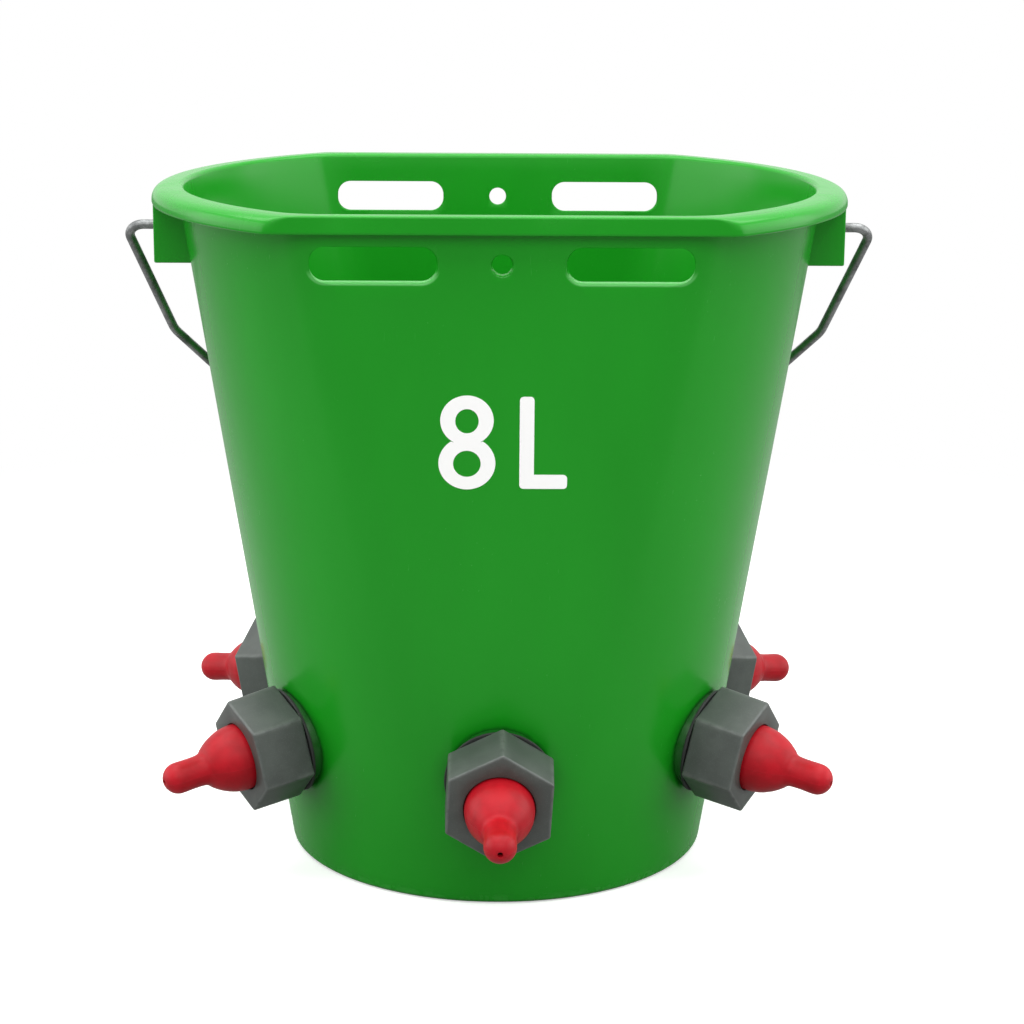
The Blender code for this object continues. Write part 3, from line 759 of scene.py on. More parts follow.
def carve(target: bpy.types.Mesh, tools: Iterable[tuple[str, bpy.types.Mesh]], name: str) -> bpy.types.Mesh:
    """Run a row of Booleans on a mesh.

    Args:
        target: The mesh to start from.
        tools: Pairs of a Boolean operation and the mesh that it takes.
        name: The result's name.

    Returns:
        The finished mesh.
    """
    work = add_object(f"{name}_work", target)
    others = []
    for operation, mesh in tools:
        other = add_object(f"{name}_tool", mesh)
        step = work.modifiers.new("step", "BOOLEAN")
        step.operation = operation
        step.solver = "MANIFOLD"
        step.object = other
        others.append(other)
    result = settled(work, name)
    for other in others:
        bpy.data.objects.remove(other, do_unlink=True)
    return result


def box_mesh(low: Point3, high: Point3, bevel: float, frame_in: Matrix | None = None) -> bpy.types.Mesh:
    """A box with rounded edges.

    Args:
        low: Its lowest corner.
        high: Its highest corner.
        bevel: The radius of its edges.
        frame_in: Where it is placed.

    Returns:
        The mesh.
    """
    bm = bmesh.new()
    bmesh.ops.create_cube(bm, size=1.0)
    bottom, top = Vector(low), Vector(high)
    bmesh.ops.scale(bm, vec=top - bottom, verts=bm.verts[:])
    bmesh.ops.translate(bm, vec=(bottom + top) / 2.0, verts=bm.verts[:])
    if bevel > 0.0:
        bmesh.ops.bevel(bm, geom=bm.edges[:], offset=bevel, segments=3, profile=0.5, affect="EDGES")
    if frame_in is not None:
        bmesh.ops.transform(bm, matrix=frame_in, verts=bm.verts[:])
    return mesh_from(bm, "box")


def disc_mesh(
    radius: float, low: float, high: float, sides: int, frame_in: Matrix | None = None, bevel: float = 0.0
) -> bpy.types.Mesh:
    """A cylinder about its frame's Z axis.

    Args:
        radius: Its radius.
        low: Where it starts on Z.
        high: Where it ends on Z.
        sides: How many sides it has.
        frame_in: Where it is placed.
        bevel: The radius of its two edges.

    Returns:
        The mesh.
    """
    bm = bmesh.new()
    depth = high - low
    bmesh.ops.create_cone(bm, cap_ends=True, segments=sides, radius1=radius, radius2=radius, depth=depth)
    bmesh.ops.translate(bm, vec=(0.0, 0.0, (low + high) / 2.0), verts=bm.verts[:])
    if bevel > 0.0:
        edges = [e for e in bm.edges if abs(e.verts[0].co.z - e.verts[1].co.z) < 1e-7]
        bmesh.ops.bevel(bm, geom=edges, offset=bevel, segments=3, profile=0.5, affect="EDGES")
    if frame_in is not None:
        bmesh.ops.transform(bm, matrix=frame_in, verts=bm.verts[:])
    return mesh_from(bm, "disc")


def hexagon_mesh(rear: Point2, front: Point2, bevel: float, segments: int = 3) -> bpy.types.Mesh:
    """A hexagon prism or frustum with rounded edges and a corner at the top.

    Args:
        rear: Its width across flats and its place on Z at the rear.
        front: The same at the front.
        bevel: The radius of its edges.
        segments: How many steps round each edge.

    Returns:
        The mesh.
    """
    bm = bmesh.new()
    bmesh.ops.create_cone(
        bm,
        cap_ends=True,
        segments=6,
        radius1=rear[0] / math.sqrt(3.0),
        radius2=front[0] / math.sqrt(3.0),
        depth=front[1] - rear[1],
    )
    bmesh.ops.translate(bm, vec=(0.0, 0.0, (front[1] + rear[1]) / 2.0), verts=bm.verts[:])
    bmesh.ops.bevel(bm, geom=bm.edges[:], offset=bevel, segments=segments, profile=0.5, affect="EDGES")
    return mesh_from(bm, "hexagon")


def smooth_through(points: Sequence[Sequence[float]], steps: int) -> list[tuple[float, ...]]:
    """Run a Catmull-Rom curve through points of any size.

    Args:
        points: The points, in order.
        steps: How many pieces each span is cut into.

    Returns:
        The curve's points, from the first to the last.
    """
    padded = [points[0], *points, points[-1]]
    curve: list[tuple[float, ...]] = []
    for a, b, c, d in zip(padded, padded[1:], padded[2:], padded[3:]):
        for i in range(steps):
            t, point = i / steps, []
            for p, q, r, s in zip(a, b, c, d):
                bend, twist = 2 * p - 5 * q + 4 * r - s, 3 * q - p - 3 * r + s
                point.append(0.5 * (2 * q + (r - p) * t + bend * t**2 + twist * t**3))
            curve.append(tuple(point))
    curve.append(tuple(points[-1]))
    return curve


def rounded(profile: Sequence[Point2], radii: Mapping[int, float], steps: int = 4) -> list[Point2]:
    """Round some corners of a closed profile.

    Args:
        profile: The corners, in order, as a closed loop.
        radii: The radius at each corner that is rounded, by its number.
        steps: How many pieces each arc is cut into.

    Returns:
        The loop with its arcs.
    """
    loop: list[Point2] = []
    count = len(profile)
    for i, corner in enumerate(profile):
        radius = radii.get(i, 0.0)
        here = Vector(corner)
        back = Vector(profile[i - 1]) - here
        ahead = Vector(profile[(i + 1) % count]) - here
        if radius <= 0.0:
            loop.append((here.x, here.y))
            continue
        half = back.angle(ahead) / 2.0
        cut = min(radius / math.tan(half), 0.45 * min(back.length, ahead.length))
        start = here + back.normalized() * cut
        end = here + ahead.normalized() * cut
        for k in range(steps + 1):
            t = k / steps
            point = (1 - t) ** 2 * start + 2 * t * (1 - t) * here + t**2 * end
            loop.append((point.x, point.y))
    return loop


def dressed(
    mesh: bpy.types.Mesh, name: str, paint: bpy.types.Material, body: str,
    node: str = "", angle: float = 32.0,
) -> bpy.types.Object:
    """Make a finished piece of a mesh.

    Args:
        mesh: The mesh, in the bucket's frame.
        name: The piece's name.
        paint: Its material.
        body: The body that it rides on.
        node: The frame's node that it stands for, if any.
        angle: The angle in degrees past which an edge is sharp.

    Returns:
        The piece's object.
    """
    mesh.name = name
    mesh.materials.clear()
    mesh.materials.append(paint)
    mesh.shade_smooth()
    mesh.set_sharp_from_angle(angle=math.radians(angle))
    piece = add_object(name, mesh)
    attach(piece, body)
    if node:
        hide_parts(node)
    return piece


# Geometry Nodes trees


class NodeTree:
    """A Geometry Nodes tree with named inputs, ending in Realize Instances and Set Material."""

    def __init__(self, name: str, inputs: Mapping[str, tuple[str, object]]) -> None:
        """Start a tree.

        Args:
            name: The tree's name.
            inputs: Socket type and default value of each named input.
        """
        self.group = bpy.data.node_groups.new(name, "GeometryNodeTree")
        self.identifiers: dict[str, str] = {}
        face = self.group.interface
        face.new_socket("Geometry", in_out="INPUT", socket_type="NodeSocketGeometry")
        face.new_socket("Geometry", in_out="OUTPUT", socket_type="NodeSocketGeometry")
        for key, (kind, default) in inputs.items():
            socket = face.new_socket(key, in_out="INPUT", socket_type=kind)
            if default is not None:
                socket.default_value = default
            self.identifiers[key] = socket.identifier
        material = face.new_socket("Material", in_out="INPUT", socket_type="NodeSocketMaterial")
        self.identifiers["Material"] = material.identifier
        self.source = self.group.nodes.new("NodeGroupInput")

    def node(
        self,
        kind: str,
        settings: Mapping[str, object] | None = None,
        sockets: Mapping[str | int, object] | None = None,
        output: str | int = 0,
    ) -> bpy.types.NodeSocket:
        """Add a node.

        Args:
            kind: The node's type name.
            settings: The node's own properties.
            sockets: Values or links for its inputs.
            output: Which output to return.

        Returns:
            The chosen output.
        """
        made = self.group.nodes.new(kind)
        for key, value in (settings or {}).items():
            setattr(made, key, value)
        for key, value in (sockets or {}).items():
            if isinstance(value, bpy.types.NodeSocket):
                self.group.links.new(value, made.inputs[key])
            else:
                made.inputs[key].default_value = value
        return made.outputs[output]

    def given(self, key: str) -> bpy.types.NodeSocket:
        """The link of a named input."""
        return self.source.outputs[key]

    def circle(self, sides: object, radius: object) -> bpy.types.NodeSocket:
        """A curve round a circle, whose sides and radius are numbers or links."""
        return self.node("GeometryNodeCurvePrimitiveCircle", {}, {"Resolution": sides, "Radius": radius})

    def noted(
        self, geometry: bpy.types.NodeSocket, kind: str, name: str, value: bpy.types.NodeSocket
    ) -> bpy.types.NodeSocket:
        """Keep a value of each point as an attribute of the given kind and name."""
        sockets = {"Geometry": geometry, "Name": name, "Value": value}
        return self.node("GeometryNodeStoreNamedAttribute", {"data_type": kind, "domain": "POINT"}, sockets)

    def recalled(self, name: str) -> bpy.types.NodeSocket:
        """A number that was kept as an attribute."""
        return self.node("GeometryNodeInputNamedAttribute", {"data_type": "FLOAT"}, {"Name": name})

    def close(self, geometry: bpy.types.NodeSocket) -> None:
        """Send the geometry out through Realize Instances and Set Material.

        Args:
            geometry: The geometry that the tree has made.
        """
        real = self.node("GeometryNodeRealizeInstances", {}, {"Geometry": geometry})
        paint = self.given("Material")
        painted = self.node("GeometryNodeSetMaterial", {}, {"Geometry": real, "Material": paint})
        target = self.group.nodes.new("NodeGroupOutput")
        self.group.links.new(painted, target.inputs["Geometry"])

    def run(
        self, data: bpy.types.ID, name: str, paint: bpy.types.Material, **values: object
    ) -> bpy.types.Mesh:
        """Run the tree on mesh or curve data.

        Args:
            data: What goes in.
            name: The result's name.
            paint: The material that it gets.
            values: The named inputs' values, with _ for a space.

        Returns:
            A plain mesh.
        """
        thing = add_object(f"{name}_guide", data)
        step = thing.modifiers.new("nodes", "NODES")
        step.node_group = self.group
        for key, value in values.items():
            step[self.identifiers[key.replace("_", " ")]] = value
        step[self.identifiers["Material"]] = paint
        return settled(thing, name)


class LatheTree(NodeTree):
    """Turns a profile about Z, by sweeping it round a small circle."""

    HUB = 1.0 * MM

    def __init__(self) -> None:
        """Build the tree, with the number of sides as its input."""
        super().__init__("lathe", {"Sides": ("NodeSocketInt", 64)})
        circle = self.circle(self.given("Sides"), self.HUB)
        level = self.node("GeometryNodeSetCurveNormal", {"mode": "Z_UP"}, {"Curve": circle})
        profile = self.given("Geometry")
        swept = self.node("GeometryNodeCurveToMesh", {}, {"Curve": level, "Profile Curve": profile})
        joined = self.node("GeometryNodeMergeByDistance", {}, {"Geometry": swept, "Distance": 0.001 * MM})
        self.close(joined)

    def turn(
        self, name: str, profile: Sequence[Point2], sides: int, paint: bpy.types.Material,
        closed: bool = True,
    ) -> bpy.types.Mesh:
        """Turn a profile.

        Args:
            name: The mesh's name.
            profile: Its points as radius and height.
            sides: How many sides the result has.
            paint: The material that it gets.
            closed: Whether the profile is a loop; an open one starts and ends on the axis.

        Returns:
            A closed mesh whose faces point outwards.
        """
        section = [(radius - self.HUB, -height, 0.0) for radius, height in profile]
        seed = line_through(f"{name}_profile", [section], closed)
        return outward(self.run(seed, name, paint, Sides=sides))


class ThreadTree(NodeTree):
    """A screw thread: a ridge swept along a helix, sunk into what carries it, that fades at both ends."""

    def __init__(self) -> None:
        """Build the tree, with the helix's sizes and steps and the ridge's radius as inputs."""
        super().__init__("screw_thread", {
            "Radius": ("NodeSocketFloat", 16.0 * MM),
            "Length": ("NodeSocketFloat", 12.0 * MM),
            "Turns": ("NodeSocketFloat", 4.0),
            "Steps": ("NodeSocketInt", 40),
            "Ridge": ("NodeSocketFloat", 1.0 * MM),
        })
        helix = self.node("GeometryNodeCurveSpiral", {}, {
            "Resolution": self.given("Steps"),
            "Rotations": self.given("Turns"),
            "Start Radius": self.given("Radius"),
            "End Radius": self.given("Radius"),
            "Height": self.given("Length"),
        })
        level = self.node("GeometryNodeSetCurveNormal", {"mode": "Z_UP"}, {"Curve": helix})
        ridge = self.circle(6, self.given("Ridge"))
        share = self.node("GeometryNodeSplineParameter", output="Factor")
        ends = self.node("ShaderNodeMath", {"operation": "PINGPONG"}, {0: share, 1: 0.5})
        fade = self.node("ShaderNodeMapRange", {"clamp": True}, {
            "Value": ends, "From Min": 0.0, "From Max": 0.04, "To Min": 0.35, "To Max": 1.0,
        })
        swept = self.node("GeometryNodeCurveToMesh", {}, {
            "Curve": level, "Profile Curve": ridge, "Scale": fade, "Fill Caps": True,
        })
        self.close(swept)


class WireTree(NodeTree):
    """A round wire along a curve, which remembers each point's place round and along it."""

    def __init__(self) -> None:
        """Build the tree, with the wire's radius and sides as inputs."""
        super().__init__("wire", {
            "Radius": ("NodeSocketFloat", 2.0 * MM),
            "Sides": ("NodeSocketInt", 20),
        })
        length = self.node("GeometryNodeSplineParameter", output="Length")
        path = self.noted(self.given("Geometry"), "FLOAT", "wire_length", length)
        around = self.node("GeometryNodeSplineParameter", output="Factor")
        section = self.circle(self.given("Sides"), self.given("Radius"))
        section = self.noted(section, "FLOAT", "wire_turn", around)
        sockets = {"Curve": path, "Profile Curve": section, "Fill Caps": True}
        swept = self.node("GeometryNodeCurveToMesh", {}, sockets)
        sockets = {"X": self.recalled("wire_length"), "Y": self.recalled("wire_turn")}
        both = self.node("ShaderNodeCombineXYZ", {}, sockets)
        self.close(self.noted(swept, "FLOAT_VECTOR", WIRE_PLACE, both))


# Bucket


@dataclass
class Bucket:
    """The moulded bucket: wall with two flats, rolled rim, lugs, hanging slots and valve seats."""

    paints: Paints
    height: float = 277.0 * MM
    base_radius: float = 86.7 * MM
    top_radius: float = 129.9 * MM
    wall: float = 2.5 * MM
    floor: float = 3.0 * MM
    base_edge: float = 2.0 * MM
    floor_corner: float = 5.0 * MM
    foot_height: float = 1.5 * MM
    foot_width: float = 5.0 * MM
    panel_inset: float = 24.7 * MM
    panel_base_margin: float = 4.65 * MM
    panel_blend: float = 6.0 * MM
    rim_overhang: float = 10.1 * MM
    rim_panel_overhang: float = 4.5 * MM
    rim_corner_blend: float = 1.5 * MM
    rim_depth: float = 7.0 * MM
    rim_thickness: float = 2.6 * MM
    rim_skirt: float = 2.0 * MM
    rim_edge: float = 0.8 * MM
    rim_inner_edge: float = 1.7 * MM
    slot_size: Point2 = (46.8 * MM, 12.7 * MM)
    slot_offset: float = 47.6 * MM
    slot_depth: float = 18.4 * MM
    slot_corner: float = 5.6 * MM
    slot_ease: float = 1.6 * MM
    slot_slopes: tuple[float, ...] = (0.20, 0.50, 0.80, 0.90, 1.00, 1.15, 1.35)
    slot_sag: float = 0.4
    slot_inner_ease: float = 0.4 * MM
    peg_radius: float = 3.7 * MM
    peg_ease: float = 1.4 * MM
    lug_width: float = 25.0 * MM
    lug_depth: float = 32.0 * MM
    lug_plate: float = 3.0 * MM
    lug_rib: float = 2.5 * MM
    lug_inset: float = 0.8 * MM
    lug_roof_drop: float = 2.0 * MM
    lug_top_depth: float = 4.1 * MM
    lug_ease: float = 0.7 * MM
    pocket_ease: float = 0.5 * MM
    pivot_depth: float = 18.0 * MM
    pivot_radius: float = 2.6 * MM
    station_height: float = 56.0 * MM
    station_angles: tuple[float, ...] = (0.0, 60.0, 120.0, -120.0, -60.0)
    seat_standoff: float = 1.5 * MM
    seat_radius: float = 19.5 * MM
    seat_ease: float = 0.4 * MM
    pad_radius: float = 22.0 * MM
    pad_standoff: float = 3.9 * MM
    pad_end: float = 5.0 * MM
    hole_radius: float = 16.6 * MM
    hole_span: Point2 = (-30.0 * MM, 10.0 * MM)
    station_sides: int = 64
    foot_sides: int = 160
    gate_radius: float = 3.2 * MM
    gate_span: Point2 = (0.7 * MM, 2.5 * MM)
    gate_ease: float = 0.25 * MM
    flat_shares: list[float] = field(init=False)
    round_shares: list[float] = field(init=False)
    wall_rows: int = field(init=False)

    def __post_init__(self) -> None:
        """Choose how finely the rings are cut."""
        flat, bend, side = ((12, 7, 36))
        self.wall_rows = 48
        self.flat_shares = [0.88 * i / flat for i in range(flat + 1)]
        self.flat_shares += [0.88 + 0.12 * i / bend for i in range(1, bend + 1)]
        self.round_shares = [0.10 * i / bend for i in range(1, bend + 1)]
        self.round_shares += [0.10 + 0.90 * i / side for i in range(1, side + 1)]

    def taper(self) -> float:
        """Growth of the wall's radius for each unit of height."""
        return (self.top_radius - self.base_radius) / self.height

    def cone_radius(self, z: float) -> float:
        """Radius of the round wall at a height."""
        return self.base_radius + self.taper() * z

    def panel_distance(self, z: float) -> float:
        """Distance of the panels from the axis at a height."""
        low = self.base_radius + self.panel_base_margin
        return low + (self.top_radius - self.panel_inset - low) * z / self.height

    def outline(self, radius: float, distance: float, z: float, blend: float) -> Ring:
        """One ring: a circle flattened at the front and the back, with soft corners.

        Args:
            radius: The circle's radius.
            distance: How far the flats are from the axis.
            z: The ring's height.
            blend: The width of the corners.

        Returns:
            The ring's points.
        """
        corner = math.acos(min(distance / radius, math.cos(math.radians(14.0))))
        angles = [share * corner for share in self.flat_shares]
        angles += [corner + share * (math.pi / 2.0 - corner) for share in self.round_shares]
        quarter = []
        for angle in angles:
            flat = distance / max(math.cos(angle), 1e-6)
            soft = max(blend - abs(radius - flat), 0.0) / blend
            reach = min(radius, flat) - soft * soft * blend / 4.0
            quarter.append((reach * math.sin(angle), reach * math.cos(angle)))
        back = [(-x, y) for x, y in quarter[:0:-1]] + quarter[:-1]
        return [(x, y, z) for x, y in back] + [(-x, -y, z) for x, y in back]

    def wall_ring(self, z: float, offset: float = 0.0) -> Ring:
        """The wall's outline at a height, moved outwards by offset."""
        radius, panel = self.cone_radius(z) + offset, self.panel_distance(z) + offset
        return self.outline(radius, panel, z, self.panel_blend)

    def rim_ring(self, round_inset: float, flat_inset: float, depth: float) -> Ring:
        """The rim's outline at a depth.

        Args:
            round_inset: How far it is drawn in from the rim's edge at the round sides.
            flat_inset: The same at the flats.
            depth: How far it is below the top.

        Returns:
            The ring's points.
        """
        radius = self.top_radius + self.rim_overhang - round_inset
        panel = self.panel_distance(self.height) + self.rim_panel_overhang - flat_inset
        return self.outline(radius, panel, self.height - depth, self.rim_corner_blend)

    def rim_rings(self) -> list[Ring]:
        """The rim's section from the groove up.

        Returns:
            Rings of the skirt, whose top curves over at the round sides and stays level at the flats.
        """
        skirt, deep, over = self.rim_skirt, self.rim_depth, self.rim_overhang
        under = [
            (skirt + 1.2 * MM, skirt + 1.2 * MM, self.rim_thickness + 0.15 * MM),
            (skirt + 0.4 * MM, skirt + 0.4 * MM, self.rim_thickness + 0.5 * MM),
            (skirt, skirt, self.rim_thickness + 1.2 * MM),
            (skirt, skirt, deep - 0.15 * MM),
            (skirt - 0.15 * MM, skirt - 0.15 * MM, deep),
            (0.3 * skirt, 0.3 * skirt, deep),
            (0.1 * skirt, 0.1 * skirt, deep - 0.12 * skirt),
        ]
        crown = smooth_through([
            (0.0, 0.0, deep - 0.4 * skirt),
            (0.02 * over, 0.0, 0.58 * deep),
            (0.14 * over, 0.0, 0.27 * deep),
            (0.38 * over, 0.0, 0.08 * deep),
            (0.70 * over, 0.0, 0.0),
        ], 5)
        edge = self.rim_edge
        rings = [self.rim_ring(*section) for section in under]
        for round_inset, _, depth in crown:
            turn = 1.0 - min(depth / edge, 1.0)
            flat_inset = edge * (1.0 - math.sqrt(max(1.0 - turn * turn, 0.0)))
            rings.append(self.rim_ring(round_inset, flat_inset, depth))
        return rings

    def body(self) -> bpy.types.Mesh:
        """The outer form, filled, with the rim as a channel that is open downwards.

        Returns:
            The mesh.
        """
        edge = self.base_edge
        rings = []
        for i in range(6):
            turn = math.pi / 2.0 * i / 6
            rings.append(self.wall_ring(edge * (1.0 - math.cos(turn)), -edge * (1.0 - math.sin(turn))))
        groove = self.height - self.rim_thickness
        rows = self.wall_rows
        rings += [self.wall_ring(edge + (groove - 1.0 * MM - edge) * i / rows) for i in range(rows + 1)]
        rings.append(self.wall_ring(groove - 0.3 * MM, 0.3 * MM))
        rings.append(self.wall_ring(groove, 1.2 * MM))
        return loft("body", rings + self.rim_rings())

    def cavity(self) -> bpy.types.Mesh:
        """The space inside, open past the rim, with a rounded inner edge.

        Returns:
            The mesh.
        """
        low = self.foot_height + self.floor
        corner, ease, rows = self.floor_corner, self.rim_inner_edge, self.wall_rows
        rings = []
        for i in range(8):
            turn = math.pi / 2.0 * i / 8
            inset = corner * (1.0 - math.sin(turn))
            rings.append(self.wall_ring(low + corner * (1.0 - math.cos(turn)), -self.wall - inset))
        start, end = low + corner, self.height - ease
        rings += [self.wall_ring(start + (end - start) * i / rows, -self.wall) for i in range(rows + 1)]
        for i in range(1, 8):
            turn = math.pi / 2.0 * i / 8
            z = self.height - ease + ease * math.sin(turn)
            rings.append(self.wall_ring(z, -self.wall + ease * (1.0 - math.cos(turn))))
        rings.append(self.wall_ring(self.height + ease, -self.wall + 1.02 * ease))
        return loft("cavity", rings)

    def panel_cutter(self, shape: Callable[[float], list[Point2]], x: float, ease: float) -> bpy.types.Mesh:
        """A cutter through both panels, bevelled outside, mostly along its lower edge, and eased inside.

        Args:
            shape: Gives the outline's points for an amount that it has grown by.
            x: The outline's centre on X.
            ease: The width of the outer bevel along the lower edge.

        Returns:
            The cutter.
        """
        wall, inner = self.wall, self.slot_inner_ease
        stations = [(-0.6 * MM, ease + 0.06 * MM), (-0.01 * MM, ease)]
        step = ease / sum(math.cos(turn) for turn in self.slot_slopes)
        for turn in self.slot_slopes:
            deep, grown = stations[-1]
            stations.append((deep + step * math.sin(turn), grown - step * math.cos(turn)))
        for i in range(4):
            turn = math.pi / 2.0 * i / 3
            stations.append((wall - inner + inner * math.sin(turn), inner * (1.0 - math.cos(turn))))
        stations.append((wall + 0.6 * MM, inner + 0.06 * MM))
        middle = self.height - self.slot_depth
        rings = []
        for side in (-1.0, 1.0):
            for deep, grown in stations if side < 0.0 else reversed(stations):
                ring = []
                for px, pz in shape((1.0 - self.slot_sag) * grown):
                    z = middle + pz - self.slot_sag * grown
                    ring.append((x + px, side * (self.panel_distance(z) - deep), z))
                rings.append(ring)
        return loft("panel_cutter", rings)

    def slot_outline(self, grown: float) -> list[Point2]:
        """A hanging slot's outline: a rectangle with round corners.

        Args:
            grown: How much it has grown all round.

        Returns:
            Its points in X and Z, about its centre.
        """
        radius = self.slot_corner + grown
        half_x = self.slot_size[0] / 2.0 + grown - radius
        half_z = self.slot_size[1] / 2.0 + grown - radius
        points = []
        for side_x, side_z, start in ((1, 1, 0.0), (-1, 1, 90.0), (-1, -1, 180.0), (1, -1, 270.0)):
            for i in range(11):
                angle = math.radians(start + 9.0 * i)
                px, pz = radius * math.cos(angle), radius * math.sin(angle)
                points.append((side_x * half_x + px, side_z * half_z + pz))
        return points

    def peg_outline(self, grown: float) -> list[Point2]:
        """A peg hole's outline: a circle.

        Args:
            grown: How much it has grown all round.

        Returns:
            Its points in X and Z, about its centre.
        """
        radius = self.peg_radius + grown
        angles = [math.radians(9.0 * i) for i in range(40)]
        return [(radius * math.cos(angle), radius * math.sin(angle)) for angle in angles]

    def lug(self, side: int) -> bpy.types.Mesh:
        """A box under the rim, open below, that carries one end of the bail.

        Args:
            side: 1 for the right, -1 for the left.

        Returns:
            The lug's mesh.
        """
        turn = Matrix.Rotation(0.0 if side > 0 else math.pi, 4, "Z")
        outer = self.top_radius + self.rim_overhang - self.lug_inset
        bottom = self.height - self.lug_depth
        inner = self.cone_radius(bottom) - 3.0 * self.wall
        half = self.lug_width / 2.0
        top = self.height - self.lug_top_depth
        block = box_mesh((inner, -half, bottom), (outer, half, top), self.lug_ease, turn)
        roof = self.height - self.rim_depth - self.lug_roof_drop
        pocket = box_mesh(
            (inner - self.wall, self.lug_rib - half, bottom - 4.0 * MM),
            (outer - self.lug_plate, half - self.lug_rib, roof),
            self.pocket_ease,
            turn,
        )
        return carve(block, [("DIFFERENCE", pocket)], "lug")

    def station_frame(self, angle_deg: float) -> Matrix:
        """Frame of a teat's station, with its origin on the seat.

        Args:
            angle_deg: The station's angle about the bucket, from the front.

        Returns:
            A matrix whose X runs along the wall, Y up it and Z outwards.
        """
        angle = math.radians(angle_deg)
        tilt = math.atan(self.taper())
        radial = Vector((math.sin(angle), -math.cos(angle), 0.0))
        along = Vector((math.cos(angle), math.sin(angle), 0.0))
        up = Vector((0.0, 0.0, 1.0))
        outwards = math.cos(tilt) * radial - math.sin(tilt) * up
        uphill = math.sin(tilt) * radial + math.cos(tilt) * up
        z = self.station_height
        centre = self.cone_radius(z) * radial + z * up + self.seat_standoff * outwards
        return Matrix.Translation(centre) @ Matrix((along, uphill, outwards)).transposed().to_4x4()

    def make(self) -> bpy.types.Object:
        """Build the bucket.

        Returns:
            The bucket's piece, in place of the frame's shell.
        """
        pad_plane = -self.seat_standoff - self.wall - self.pad_standoff
        sides = self.station_sides
        frames = [self.station_frame(angle) for angle in self.station_angles]
        pad, end = self.pad_radius, self.pad_end
        pads = [("DIFFERENCE", disc_mesh(pad, pad_plane, end, sides, at)) for at in frames]
        hollow = carve(self.cavity(), pads, "hollow")
        steps = [("UNION", self.lug(side)) for side in (-1, 1)]
        seat, ease = self.seat_radius, self.seat_ease
        steps += [("UNION", disc_mesh(seat, pad_plane, 0.0, sides, at, ease)) for at in frames]
        steps.append(("DIFFERENCE", hollow))
        hole, span = self.hole_radius, self.hole_span
        steps += [("DIFFERENCE", disc_mesh(hole, *span, sides, at)) for at in frames]
        reach = self.top_radius + self.rim_overhang - self.lug_inset
        for side in (-1, 1):
            cutter = self.panel_cutter(self.slot_outline, side * self.slot_offset, self.slot_ease)
            steps.append(("DIFFERENCE", cutter))
            turn = Matrix.Translation((0.0, 0.0, self.height - self.pivot_depth))
            turn = turn @ Matrix.Rotation(side * math.pi / 2.0, 4, "Y")
            low, high = reach - 1.5 * self.lug_plate, reach + self.lug_plate
            pivot = disc_mesh(self.pivot_radius, low, high, 40, turn)
            steps.append(("DIFFERENCE", pivot))
        steps.append(("DIFFERENCE", self.panel_cutter(self.peg_outline, 0.0, self.peg_ease)))
        foot = self.base_radius - self.foot_width
        recess = disc_mesh(foot, -self.foot_height, self.foot_height, self.foot_sides)
        steps.append(("DIFFERENCE", recess))
        steps.append(("UNION", disc_mesh(self.gate_radius, *self.gate_span, 32, None, self.gate_ease)))
        mesh, finish = carve(self.body(), steps, "bucket"), Finish.BUCKET
        paint = self.paints[finish]
        return dressed(mesh, "moulded_bucket", paint, "bucket", "bucket_shell", 30.0)


